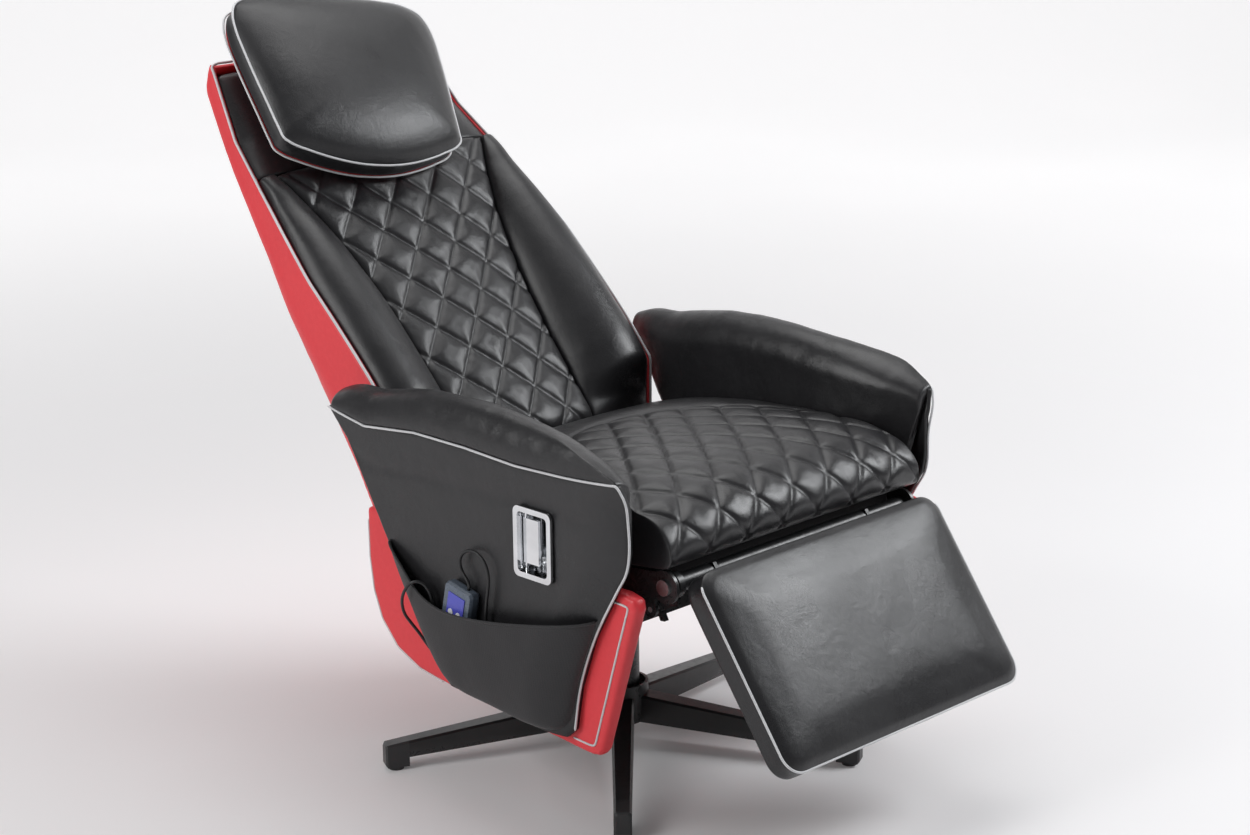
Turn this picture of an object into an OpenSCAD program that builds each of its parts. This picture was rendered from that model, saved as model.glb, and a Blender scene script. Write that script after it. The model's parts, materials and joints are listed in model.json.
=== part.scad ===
// Massage recliner on a swivelling star base, with a reclining back, a swinging footrest and a handset.
// The chair faces -Y. The sitter's right-hand side, with the release handle and the pocket, is -X.
// Lengths are in millimetres and angles in degrees.

/* [Star base] */
// Number of legs
leg_count = 5; // [4:1:6]
// Reach of a leg from the swivel axis
leg_reach = 357; // [320:1:420]
// Turn of the first leg from straight ahead
leg_turn = 45; // [0:1:60]
// Width of a leg at the hub
leg_root_w = 34; // [28:1:44]
// Width of a leg at its tip
leg_tip_w = 25; // [20:1:32]
// Depth of a leg at the hub
leg_root_h = 41; // [30:1:44]
// Depth of a leg where its cap begins
leg_tip_h = 24; // [15:1:26]
// Height of a leg's top at the hub above the floor
leg_root_z = 78; // [70:1:84]
// Height of a leg's top at its tip above the floor
leg_tip_z = 39; // [34:1:50]
// Bevel along a leg's top edges
leg_bevel = 3; // [1:0.5:6]
// Diameter of the hub
hub_d = 76; // [70:1:90]
// Wall of the hub
hub_wall = 4; // [3:0.5:6]
// Height of the hub's open rim above the floor
hub_top_z = 91; // [86:1:110]
// Height of the hub's foot above the floor
hub_foot_z = 36; // [34:1:40]
// Length of the cap on a leg's end
cap_l = 34; // [28:1:50]
// Diameter of a glide
glide_d = 22; // [14:1:24]
// Height of a glide
glide_h = 5; // [3:1:8]

/* [Column] */
// Diameter of the column
column_d = 50; // [44:1:54]
// Wall of the column
column_wall = 4; // [2:0.5:6]
// Length of a bush in the hub
bush_l = 16; // [10:1:18]
// Depth of the column's collar below the hub's rim
collar_drop = 8; // [5:1:12]
// Width of the swivel plate
swivel_plate_w = 210; // [170:1:240]
// Thickness of the swivel plate
swivel_plate_t = 6; // [4:1:8]
// Height of the swivel plate's underside above the floor
swivel_plate_z = 234; // [228:1:238]

/* [Seat frame] */
// Slope of the seat, down towards the back
seat_tilt = 6; // [4:0.5:8]
// Height of the seat frame's top at the swivel axis
seat_datum_z = 367; // [360:1:385]
// Setback of the seat box's side from the cushion's side
box_inset = 14; // [13:1:30]
// Reach of the seat box ahead of the axis
box_front_y = 302; // [298:1:304]
// Reach of the seat box behind the axis
box_rear_y = 162; // [156:1:166]
// Height of the seat box
box_h = 50; // [44:1:50]
// Wall of the seat box
box_wall = 22; // [16:1:30]
// Side of a cross rail's section
rail_side = 30; // [26:1:34]
// Wall of a rail
rail_wall = 2.5; // [1.5:0.5:4]
// Side of a lengthwise rail's section
long_rail_side = 25; // [20:1:28]
// Distance of a lengthwise rail's middle from the middle of the seat
long_rail_x = 72; // [60:1:90]
// Thickness of a steel side plate
plate_t = 5; // [4:0.5:5]
// Height of a steel side plate's long bar
plate_bar_h = 38; // [32:1:40]

/* [Side panels] */
// Clearance between the cushion's side and a side panel
side_play = 20; // [16:1:25]
// Thickness of a side panel
side_t = 22; // [16:1:26]
// Reach of a side panel ahead of the axis
side_front_y = 321; // [315:1:335]
// Reach of a side panel behind the axis
side_rear_y = 213; // [205:1:220]
// Height of a side panel's lowest edge
side_bottom_z = 130; // [115:1:145]
// Height of a side panel's highest edge
side_top_z = 378; // [370:1:382]

/* [Arms] */
// Thickness of an arm board
arm_board_t = 18; // [14:1:20]
// Thickness of an arm's outer panel
arm_panel_t = 8; // [6:1:12]
// Reach of an arm ahead of the axis
arm_front_y = 316; // [306:1:326]
// Reach of an arm behind the axis
arm_rear_y = 256; // [240:1:265]
// Height of the seam along the top of the outer panel
arm_seam_z = 525; // [508:1:535]
// Height of the outer panel's lowest edge
arm_bottom_z = 150; // [135:1:165]
// Height of the padded roll above that seam
arm_roll_h = 58; // [40:1:65]
// Overhang of the padded roll beyond the outer panel
arm_roll_over = 10; // [4:1:18]
// Turn of the outer panel inwards at its front edge
arm_close = 17; // [8:1:17]
// Height of the arm pad's lower edge
arm_pad_z = 400; // [395:1:410]
// Clearance between the cushion's side and an arm pad
arm_play = 8; // [6.5:0.5:10]

/* [Seat cushion] */
// Width of the seat cushion
seat_w = 500; // [480:1:508]
// Reach of the cushion ahead of the axis
seat_front_y = 348; // [340:1:352]
// Reach of the cushion behind the axis
seat_rear_y = 154; // [146:1:156]
// Thickness of the cushion at its sides
seat_side_h = 95; // [80:1:100]
// Crown of the cushion over its sides
seat_crown = 20; // [10:1:26]
// Number of sewn channels
seat_channels = 8; // [6:1:8]
// Depth of a sewn channel
seat_channel_h = 9; // [4:1:10]

/* [Back] */
// Recline from upright in the photographed position
recline = 41.2; // [36:0.1:45]
// Reach of the recline hinge behind the axis
pivot_y = 200; // [196:1:204]
// Height of the recline hinge
pivot_z = 400; // [396:1:406]
// Length of the back from the hinge to its top
back_l = 705; // [660:1:730]
// Reach of the back's side beyond the cushion's side
back_over = 4; // [0:0.5:5]
// Width of the back at its top
back_top_w = 394; // [360:1:420]
// Depth of the pads in front of the back board
pad_h = 36; // [30:1:42]
// Thickness of the back board
board_t = 8; // [6:1:9]
// Thickness of the red shell
shell_t = 5; // [4:0.5:6]
// Depth of the shell behind the pads at its top
shell_top_d = 30; // [28:1:36]
// Depth of the shell behind the pads at its foot
shell_foot_d = 76; // [64:1:78]
// Width of the quilted pad at its foot
quilt_foot_w = 248; // [220:1:270]
// Width of the quilted pad at its top
quilt_top_w = 408; // [380:1:420]
// Length of the plain pad above the quilting
top_pad_l = 206; // [185:1:235]
// Width of a quilted diamond
diamond_w = 75; // [66:1:90]
// Length of a quilted diamond
diamond_l = 86; // [76:1:100]
// Swell of a bolster over its seams
bolster_swell = 38; // [20:1:44]
// Diameter of the back frame's tube
back_tube_d = 14; // [12:1:14]

/* [Head pillow] */
// Width of the pillow
pillow_w = 368; // [330:1:400]
// Height of the pillow along the back
pillow_l = 304; // [260:1:320]
// Rise of the pillow above the back's top
pillow_rise = 45; // [25:1:75]
// Sideways place of the loose pillow, towards the sitter's right
pillow_shift = 25; // [0:1:40]
// Lean of the loose pillow, its foot towards the sitter's right
pillow_lean = 5; // [0:0.5:10]
// Depth of the pillow's side band
pillow_band = 42; // [32:1:54]
// Crown of the pillow over its band
pillow_crown = 38; // [24:1:46]

/* [Footrest] */
// Slope of the footrest from hanging straight down
foot_slope = 35.9; // [30:0.1:42]
// Reach of the footrest hinge ahead of the axis
foot_pivot_y = 322; // [319:1:325]
// Height of the footrest hinge
foot_pivot_z = 374; // [371:1:377]
// Setback of the footrest's side from the cushion's side
foot_inset = 12; // [8:1:30]
// Length of the footrest pad
foot_l = 285; // [260:1:300]
// Thickness of the footrest pad's side band
foot_band = 34; // [28:1:34]
// Crown of the footrest pad
foot_crown = 13; // [6:1:18]
// Radius of the footrest pad's corners
foot_corner_r = 28; // [20:1:50]
// Thickness of the footrest board
foot_board_t = 10; // [8:1:11]
// Diameter of the torque tube
torque_tube_d = 24; // [22:1:25]

/* [Release handle] */
// Width of the handle's bezel
bezel_w = 71; // [62:1:80]
// Height of the handle's bezel
bezel_h = 98; // [88:1:110]
// Distance of the handle's middle ahead of the axis
bezel_y = 159; // [150:1:175]
// Height of the handle's middle
bezel_z = 414; // [410:1:425]
// Thickness of the bezel's rim
bezel_t = 4; // [2.5:0.5:6]
// Depth of the finger cup behind the outer panel
cup_depth = 23; // [18:1:24]
// Width of the paddle
paddle_w = 27; // [22:1:32]

/* [Pocket and handset] */
// Stand-off of the pocket at the middle of its hem
pocket_deep = 29; // [27:1:36]
// Thickness of the pocket cloth
pocket_t = 3; // [2:0.5:4]
// Width of the handset
handset_w = 54; // [48:1:58]
// Length of the handset
handset_l = 104; // [92:1:112]
// Thickness of the handset
handset_t = 18; // [15:1:19]
// Lean of the handset towards the front
handset_lean = 12; // [8:1:16]
// Diameter of a handset button
button_d = 9; // [7:1:10]
// Travel of a handset button
button_travel = 0.8; // [0.5:0.1:1.2]
// Diameter of the handset's cord
cord_d = 4.5; // [4:0.5:5]

/* [Hidden] */
// Distance of the swivel axis ahead of the middle of the chair's box
axis_y = -62;
// Running clearance round a shaft, on the radius
run_gap = 0.05;
// Clearance between pieces that seat on each other
seat_gap = 0.3;
// Overrun of a cut past the face that it opens
over = 1;
// Thickness of a slice that a hull starts from
slice = 0.5;
black = "#26272b";
steel = "#2b2c2f";
red = "#d8424a";
grey = "#6c7580";

// Places and small sizes worked out from the ones above
column_r = column_d / 2;
washer_t = 3;
collar_t = 5;
ring_w = 6;
cap_start = leg_reach - cap_l;
box_w = seat_w - 2 * box_inset;
side_gap = seat_w + 2 * side_play;
arm_gap = seat_w + 2 * arm_play;
back_w = seat_w + 2 * back_over;
foot_w = seat_w - 2 * foot_inset;
quilt_top_s = back_l - top_pad_l;
pillow_top_s = back_l + pillow_rise;
side_in = side_gap / 2;
side_out = side_in + side_t;
board_out = side_out + arm_board_t;
panel_out = board_out + arm_panel_t;
arm_in = arm_gap / 2;
plate_in = box_w / 2;
plate_out = plate_in + plate_t;
rail_top = -box_h;
rail_bottom = rail_top - rail_side;
// Setback of the cross rails from the ends of the seat box
rail_front_inset = 27.5;
rail_rear_inset = 5;
rail_front_y = box_front_y - rail_front_inset;
rail_rear_y = box_rear_y - rail_rear_inset;
foot_pin_r = 7;
back_pin_r = 6;
latch_pin_r = 4;
pin_head_t = 4;
lug_t = 6.5;
lug_out = plate_in - seat_gap;
lug_in = lug_out - lug_t;

// Turns the frame of the chair so that its origin is the middle of its box on the floor
module place() translate([0, axis_y, 0]) children();
// Frame of the sloping seat: the top of the seat box is its XY plane
module on_seat() translate([0, 0, seat_datum_z]) rotate([-seat_tilt, 0, 0]) children();
// Frame of the back: Z runs up the back from the hinge and -Y points out of its front
module on_back() translate([0, pivot_y, pivot_z]) rotate([-recline, 0, 0]) children();
// Frame of the footrest: -Z runs down the footrest from its hinge and -Y points out of its front
module on_foot() translate([0, -foot_pivot_y, foot_pivot_z]) rotate([-foot_slope, 0, 0]) children();
// Draws a side outline, given in Y and Z, as a slab between two distances from the middle
module slab(x0, x1) translate([x0, 0, 0]) rotate([90, 0, 90]) linear_extrude(x1 - x0) children();
// Mirrors a piece of the sitter's left-hand side to the right-hand side
module to_right() mirror([1, 0, 0]) children();
module both_sides() {
    children();
    mirror([1, 0, 0]) children();
}
function seat_y(y, z) = y * cos(seat_tilt) - (z - seat_datum_z) * sin(seat_tilt);
function seat_z(y, z) = y * sin(seat_tilt) + (z - seat_datum_z) * cos(seat_tilt);
function mix(a, b, t) = a + (b - a) * t;
function clamp(v, low = 0, high = 1) = max(low, min(high, v));
function total(list, i = 0) = i >= len(list) ? list[0] * 0 : list[i] + total(list, i + 1);
function middle(list) = total(list) / len(list);
function reversed(list) = [for (k = [len(list) - 1 : -1 : 0]) list[k]];
// The list's numbers in rising order, each of them once
function sorted(list) = len(list) < 2 ? list : concat(
    sorted([for (v = list) if (v < list[0]) v]), [list[0]], sorted([for (v = list) if (v > list[0]) v]));

// Closed solid through rings of points. Seen from the last ring, each ring runs clockwise. Each end is closed
// by a fan about its middle or a given tip or, where the ring goes out along a thin wall and comes back along
// its other face, by a strip
module loft(rings, wall = false, tips = undef) {
    m = len(rings[0]);
    n = len(rings);
    points = [for (r = rings) each r, each (tips == undef ? [middle(rings[0]), middle(rings[n - 1])] : tips)];
    sides = [for (i = [0 : n - 2], j = [0 : m - 1])
        let (a = i * m + j, b = i * m + (j + 1) % m, c = b + m, d = a + m)
        each ((i + j) % 2 == 0 ? [[a, b, c], [a, c, d]] : [[a, b, d], [b, c, d]])];
    end = (n - 1) * m;
    first = wall
        ? [for (j = [0 : m / 2 - 2]) each [[j, m - 1 - j, j + 1], [j + 1, m - 1 - j, m - 2 - j]]]
        : [for (j = [0 : m - 1]) [n * m, (j + 1) % m, j]];
    last = wall
        ? [for (j = [0 : m / 2 - 2]) let (a = end + j, b = end + m - 1 - j)
            each [[a, a + 1, b], [a + 1, b - 1, b]]]
        : [for (j = [0 : m - 1]) [n * m + 1, end + j, end + (j + 1) % m]];
    polyhedron(wall ? [for (r = rings) each r] : points, concat(sides, first, last));
}

// Rectangle with round corners about the origin
module round_rect(w, h, r) offset(r, $fn = 24) square([w - 2 * r, h - 2 * r], center = true);

// Section of a leg, standing across it at a distance from the axis
module leg_section(r, w, bottom, top) translate([0, -r, 0]) rotate([90, 0, 0]) linear_extrude(slice)
    polygon([
        [-w / 2, bottom], [w / 2, bottom], [w / 2, top - leg_bevel], [w / 2 - leg_bevel, top],
        [leg_bevel - w / 2, top], [-w / 2, top - leg_bevel]
    ]);
bore_r = hub_d / 2 - hub_wall;
function leg_top(r) = mix(leg_root_z, leg_tip_z, r / leg_reach);
module leg() hull() {
    leg_section(column_r, leg_root_w, leg_top(column_r) - leg_root_h, leg_top(column_r));
    leg_section(cap_start - slice, leg_tip_w, leg_top(cap_start) - leg_tip_h, leg_top(cap_start));
}
module every_leg() for (k = [0 : leg_count - 1]) rotate([0, 0, k * 360 / leg_count - leg_turn]) children();

module star_base() color(steel) difference() {
    union() {
        translate([0, 0, hub_foot_z]) cylinder(d = hub_d, h = hub_top_z - hub_foot_z, $fn = 96);
        every_leg() leg();
    }
    translate([0, 0, glide_h]) cylinder(r = bore_r, h = hub_top_z, $fn = 96);
}

cap_nose = 3;
module leg_caps() color(black) every_leg() hull() {
    leg_section(cap_start, leg_tip_w, glide_h, leg_top(cap_start));
    leg_section(leg_reach - cap_nose, leg_tip_w, glide_h, leg_top(leg_reach));
    leg_section(
        leg_reach - slice, leg_tip_w - 2 * cap_nose, glide_h + cap_nose, leg_top(leg_reach) - cap_nose);
}

module glides() color("#3b3b3b") every_leg()
    translate([0, -leg_reach + cap_l / 2, 0]) cylinder(d = glide_d, h = glide_h, $fn = 32);

// Ring about the swivel axis
module ring(inner, outer, z, h) translate([0, 0, z]) difference() {
    cylinder(r = outer, h = h, $fn = 96);
    translate([0, 0, -over]) cylinder(r = inner, h = h + 2 * over, $fn = 96);
}
collar_z = hub_top_z - collar_drop - collar_t;
washer_z = collar_z - seat_gap - washer_t;
column_foot_z = hub_foot_z - seat_gap - collar_t;
module hub_bushes() color("#c9c9c4") {
    ring(column_r + run_gap, bore_r, washer_z - bush_l, bush_l);
    ring(column_r + run_gap, bore_r, hub_foot_z, bush_l);
}
module thrust_washer() color("silver") ring(column_r + run_gap, column_r + ring_w, washer_z, washer_t);
module column() color(steel)
    ring(column_r - column_wall, column_r, column_foot_z, swivel_plate_z - column_foot_z);
module column_rings() color(steel) {
    ring(column_r, column_r + ring_w, collar_z, collar_t);
    ring(column_r, column_r + ring_w, column_foot_z, collar_t);
}

// Underside of the lengthwise rails, as a height above the floor
function rail_under(y) = seat_datum_z - y * tan(seat_tilt)
    + (rail_bottom - long_rail_side) / cos(seat_tilt);
plate_corner_r = 18;
bracket_reach_share = 0.9;
bracket_y = swivel_plate_w / 2 * bracket_reach_share;
module swivel_plate() color(steel) {
    translate([0, 0, swivel_plate_z]) linear_extrude(swivel_plate_t)
        round_rect(swivel_plate_w, swivel_plate_w, plate_corner_r);
    both_sides() slab(long_rail_x - long_rail_side / 2, long_rail_x + long_rail_side / 2) polygon([
        [-bracket_y, swivel_plate_z + swivel_plate_t], [bracket_y, swivel_plate_z + swivel_plate_t],
        [bracket_y, rail_under(bracket_y)], [-bracket_y, rail_under(-bracket_y)]
    ]);
}

// Square tube along Y or X with open ends
module square_tube(l, side, wall) difference() {
    cube([l, side, side]);
    translate([-over, wall, wall]) cube([l + 2 * over, side - 2 * wall, side - 2 * wall]);
}
module long_rails() color(steel) on_seat() both_sides()
    translate([long_rail_x + long_rail_side / 2, -rail_front_y, rail_bottom - long_rail_side])
        rotate([0, 0, 90]) square_tube(rail_front_y + rail_rear_y, long_rail_side, rail_wall);

module cross_rail(y) color(steel) on_seat() translate([-side_in, y, rail_bottom])
    square_tube(side_gap, rail_side, rail_wall);
module front_rail() cross_rail(-rail_front_y);
module rear_rail() cross_rail(rail_rear_y - rail_side);

bolt_r = 7;
bolt_dome_share = 0.55;
bolt_inset = 11;
module dome() rotate_extrude($fn = 32)
    polygon(concat([[0, 0]], [for (q = [0 : 15 : 90]) bolt_r * [cos(q), sin(q) * bolt_dome_share]]));
module rail_bolts() color("silver") on_seat() both_sides() {
    translate([side_in - bolt_inset, -rail_front_y, rail_bottom + rail_side / 2]) rotate([90, 0, 0]) dome();
    translate([side_in - bolt_inset, rail_rear_y, rail_bottom + rail_side / 2]) rotate([-90, 0, 0]) dome();
}

box_corner_r = 12;
module seat_box() color(black) on_seat() translate([0, (box_rear_y - box_front_y) / 2, -box_h]) difference() {
    linear_extrude(box_h) round_rect(box_w, box_front_y + box_rear_y, box_corner_r);
    translate([0, 0, -over]) linear_extrude(box_h + 2 * over)
        square([box_w - 2 * box_wall, box_front_y + box_rear_y - 2 * box_wall], center = true);
}

platform_t = 8;
platform_drop = 2;
module seat_platform() color("#b89a6c") on_seat()
    translate([0, (box_rear_y - box_front_y) / 2, -platform_drop - platform_t / 2])
        cube([box_w - 2 * box_wall, box_front_y + box_rear_y - 2 * box_wall, platform_t], center = true);

// Places on a side plate, in the seat's frame
foot_eye = [seat_y(-foot_pivot_y, foot_pivot_z), seat_z(-foot_pivot_y, foot_pivot_z)];
back_eye = [seat_y(pivot_y, pivot_z), seat_z(pivot_y, pivot_z)];
foot_eye_r = 23;
back_eye_r = 22;
latch_eye_r = 11;
// Rise of the plate's bar above the seat box's underside
bar_lift = 5;
bar_low = -box_h + bar_lift;
bar_high = bar_low + plate_bar_h;
arm_half_w = 18;
bar_rear_y = back_eye[0] + arm_half_w;
latch_eye = [-box_front_y + latch_eye_r, -box_h - latch_eye_r + seat_gap];
tab_root = bar_low + plate_bar_h / 3;
tab_foot = latch_eye[1] - latch_eye_r / 3;
module eye(at, r) translate(at) circle(r, $fn = 64);
module side_plate_outline() {
    polygon([[foot_eye[0], bar_low], [bar_rear_y, bar_low], [bar_rear_y, bar_high], [foot_eye[0], bar_high]]);
    polygon([
        [bar_rear_y - 2 * arm_half_w, bar_low], [bar_rear_y, bar_low],
        [back_eye[0] + arm_half_w, back_eye[1]], [back_eye[0] - arm_half_w, back_eye[1]]
    ]);
    eye(foot_eye, foot_eye_r);
    eye(back_eye, back_eye_r);
}
module side_plate_holes() {
    eye(foot_eye, foot_pin_r);
    eye(back_eye, back_pin_r);
    for (at = plate_bolt_places) eye(at, plate_bolt_r);
}
plate_bolt_r = 4;
plate_bolt_shares = [0.2, 0.55, 0.9];
plate_bolt_places = [for (t = plate_bolt_shares)
    [mix(-box_front_y, box_rear_y, t), (bar_low + bar_high) / 2]];
module side_plate_l() color(steel) on_seat() slab(plate_in, plate_out) difference() {
    side_plate_outline();
    side_plate_holes();
}
module side_plate_r() color(steel) on_seat() to_right() slab(plate_in, plate_out) difference() {
    union() {
        side_plate_outline();
        polygon([
            [latch_eye[0] - latch_eye_r * 0.8, tab_foot], [latch_eye[0] + latch_eye_r * 0.8, tab_foot],
            [latch_eye[0] + latch_eye_r, tab_root], [latch_eye[0] - latch_eye_r, tab_root]
        ]);
        eye(latch_eye, latch_eye_r);
    }
    side_plate_holes();
    eye(latch_eye, latch_pin_r);
}

// Headed pin along X, from inside the side plate to its head on the outside
module pin(at, r, inner, head_r) translate([inner, at[0], at[1]]) rotate([0, 90, 0]) {
    cylinder(r = r, h = plate_out - inner, $fn = 48);
    translate([0, 0, plate_out - inner]) cylinder(r = head_r, h = pin_head_t, $fn = 48);
}
foot_pin_in = 26;
module back_pins() color("silver") on_seat() both_sides()
    pin(back_eye, back_pin_r, lug_in - pin_head_t / 2, back_pin_r + pin_head_t);
module foot_pins() color("silver") on_seat() both_sides()
    pin(foot_eye, foot_pin_r, plate_in - foot_pin_in, foot_pin_r + pin_head_t);

module plate_bolts() color("silver") on_seat() both_sides() for (at = plate_bolt_places)
    pin(at, plate_bolt_r, plate_in, plate_bolt_r + pin_head_t / 2);

// Cushion outline from its rear foot over the top to its front foot, as shares of its length and thickness
seat_profile_shares = [
    [0.004, 0], [-0.006, 0.2], [-0.002, 0.52], [0.03, 0.76], [0.10, 0.87], [0.19, 0.935], [0.31, 0.985],
    [0.43, 1], [0.55, 0.985], [0.66, 0.96], [0.75, 0.92], [0.84, 0.85], [0.915, 0.73], [0.97, 0.54],
    [0.998, 0.29], [0.994, 0.09], [0.974, 0]
];
// Rows from which the sewn lines cross to make diamonds on the front roll
seat_diamond_row = 11;
seat_side_draw = 9;
function seat_profile(i) = let (p = seat_profile_shares[i])
    [mix(seat_rear_y, -seat_front_y, p[0]), p[1] * seat_side_h];
seat_rows = len(seat_profile_shares);
// Outward direction of the profile at a row
function seat_normal(i) = let (
        a = seat_profile(max(i - 1, 0)), b = seat_profile(min(i + 1, seat_rows - 1)), d = b - a)
    [d[1], -d[0]] / norm(d);
// Share of the crown that shows at a row: none at the foot of the cushion
function seat_swell(i) = sin(180 * clamp((i - 1) / (seat_rows - 3)));
// A sewn line lies where a column and row meet: lengthwise channels, and diamonds on the front roll
function seat_sewn(k, i) = i < seat_diamond_row ? k % 2 == 0 : (k + i + seat_diamond_row) % 2 == 0;
function seat_column(k, columns) = let (
        u = 2 * k / columns - 1, x = u * (seat_w / 2 - seat_side_draw / 4), crown = 1 - pow(abs(u), 3))
    [for (i = [0 : seat_rows - 1]) let (
            p = seat_profile(i), n = seat_normal(i), edge = i == 0 || i == seat_rows - 1,
            lift = edge ? 0 : seat_swell(i) * (crown * seat_crown - (seat_sewn(k, i) ? seat_channel_h : 0)),
            q = p + n * lift)
        [x, q[0], q[1] + seat_gap]];
function seat_end(side) = let (inset = seat_side_draw)
    [for (i = [0 : seat_rows - 1]) let (
            p = seat_profile(i), n = seat_normal(i), foot = i == 0 || i == seat_rows - 1,
            q = p - n * (foot ? 0 : inset * seat_swell(i)))
        [side * seat_w / 2, q[0], q[1] + seat_gap]];
module seat_cushion() color(black) on_seat() let (columns = 2 * seat_channels)
    loft(concat([seat_end(1)], [for (k = [columns : -1 : 0]) seat_column(k, columns)], [seat_end(-1)]));

motor_d = 44;
motor_h = 20;
seat_motor_x_share = 0.42;
seat_motor_y = 80;
module seat_motors() color("#8a8a8a") on_seat() both_sides()
    translate([box_w / 2 * seat_motor_x_share, -seat_motor_y, -platform_drop - platform_t - motor_h])
        cylinder(d = motor_d, h = motor_h, $fn = 48);

// Side panel outline as shares of its length from the front and of its height from the foot
side_shares = [
    [0.0, 0.90], [0.006, 0.955], [0.045, 0.975], [0.30, 0.965], [0.985, 1.0], [1.0, 0.985], [0.998, 0.7],
    [0.985, 0.5], [0.955, 0.34], [0.895, 0.2], [0.81, 0.12], [0.7, 0.085], [0.2, 0.005], [0.16, 0.0],
    [0.135, 0.01], [0.122, 0.045], [0.035, 0.66]
];
module side_outline() polygon([for (p = side_shares)
    [mix(-side_front_y, side_rear_y, p[0]), mix(side_bottom_z, side_top_z, p[1])]]);
side_edge = 5;
// Hole for the handset's cord through the right-hand side panel
cord_hole_r = 5;
cord_hole = [8, 196];
module side_panel() hull() {
    slab(side_in, side_in + slice) offset(delta = -side_edge) side_outline();
    slab(side_in + side_edge, side_out - side_edge) side_outline();
    slab(side_out - slice, side_out) offset(delta = -side_edge) side_outline();
}
module side_panel_l() color(red) side_panel();
module side_panel_r() color(red) difference() {
    to_right() side_panel();
    translate([-side_out - over, cord_hole[0], cord_hole[1]]) rotate([0, 90, 0])
        cylinder(r = cord_hole_r, h = side_t + 2 * over, $fn = 32);
}

rear_panel_t = 12;
rear_panel_top_z = 296;
rear_panel_low_z = 178;
inlet_x = 150;
inlet_z = 235;
inlet_r = 7;
rear_panel_y = 172;
module rear_panel() color(red) difference() {
    translate([-side_in, rear_panel_y, rear_panel_low_z])
        cube([side_gap, rear_panel_t, rear_panel_top_z - rear_panel_low_z]);
    translate([-inlet_x, rear_panel_y - over, inlet_z]) rotate([-90, 0, 0])
        cylinder(r = inlet_r, h = rear_panel_t + 2 * over, $fn = 32);
}

// Lower and upper edge of the outer panel, as shares of the arm's length from the front and of its height
arm_low_shares = [
    [0, 0.747], [0.009, 0.68], [0.038, 0.605], [0.114, 0.397], [0.163, 0.192], [0.182, 0.03], [0.2, 0],
    [0.26, 0.007], [0.33, 0.016], [0.397, 0.024], [0.58, 0.046], [0.605, 0.075], [0.642, 0.165],
    [0.797, 0.536], [0.935, 0.88], [1, 0.979]
];
arm_high_shares = [
    [0, 0.933], [0.009, 1], [0.155, 0.989], [0.32, 0.981], [0.49, 0.992], [0.666, 0.992], [0.85, 0.96],
    [1, 0.992]
];
arm_nose_shares = [for (k = [5 : -1 : 0]) [arm_low_shares[k][1], arm_low_shares[k][0]]];
arm_panel_steps = 6;
arm_edge = 2;
arm_close_run = 70;
arm_corner_share = 0.25;
function arm_y(t) = mix(-arm_front_y, arm_rear_y, t);
function arm_z(t) = mix(arm_bottom_z, arm_seam_z, t);
function arm_t(y) = (y + arm_front_y) / (arm_rear_y + arm_front_y);
function arm_low(y) = arm_z(lookup(arm_t(y), arm_low_shares));
function arm_high(y) = arm_z(lookup(arm_t(y), arm_high_shares));
function arm_nose(z) = arm_y(lookup((z - arm_bottom_z) / (arm_seam_z - arm_bottom_z), arm_nose_shares));
// Outer face of the panel, which turns inwards along its front edge
function arm_skin(y, z) = let (
        top = clamp(((z - arm_bottom_z) / (arm_seam_z - arm_bottom_z) - 0.9) / 0.1),
        turned = pow(clamp(1 - (y - arm_nose(z)) / arm_close_run), 2))
    panel_out - arm_close * mix(1, arm_corner_share, top) * turned;
module arm_outline() polygon([for (p = concat(arm_low_shares, reversed(arm_high_shares)))
    [arm_y(p[0]), arm_z(p[1])]]);
board_inset = 12;
board_low_z = 215;
board_drop = 4;
cup_wall = 1.5;
cup_rim = 6;
cup_w = bezel_w - 2 * cup_rim;
cup_h = bezel_h - 2 * cup_rim;
module cup_hole() translate([-bezel_y, bezel_z]) square([cup_w, cup_h], center = true);
module arm_board_outline() intersection() {
    offset(delta = -board_inset) arm_outline();
    translate([arm_close_run + 3 * board_inset, 0]) arm_outline();
    translate([-arm_front_y, board_low_z])
        square([arm_front_y + arm_rear_y, arm_seam_z - board_drop - board_low_z]);
}
module arm_board_l() color("#b89a6c") slab(side_out, board_out - seat_gap) arm_board_outline();
module arm_board_r() color("#b89a6c") to_right() slab(side_out, board_out - seat_gap) difference() {
    arm_board_outline();
    cup_hole();
}
function arm_panel_ring(y) = let (low = arm_low(y), high = arm_high(y), n = arm_panel_steps) concat(
    [for (k = [0 : n]) let (z = mix(low, high, k / n)) [arm_skin(y, z) - (k % n == 0 ? arm_edge : 0), y, z]],
    [for (k = [n : -1 : 0]) let (z = mix(low, high, k / n)) [arm_skin(y, z) - arm_panel_t, y, z]]);
arm_panel_ts = sorted([for (p = concat(arm_low_shares, arm_high_shares)) p[0]]);
module arm_panel() loft([for (t = arm_panel_ts) arm_panel_ring(arm_y(t))]);
module arm_panel_l() color(black) arm_panel();
module arm_panel_r() color(black) to_right() difference() {
    arm_panel();
    slab(board_out - over, panel_out + over) cup_hole();
}

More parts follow.
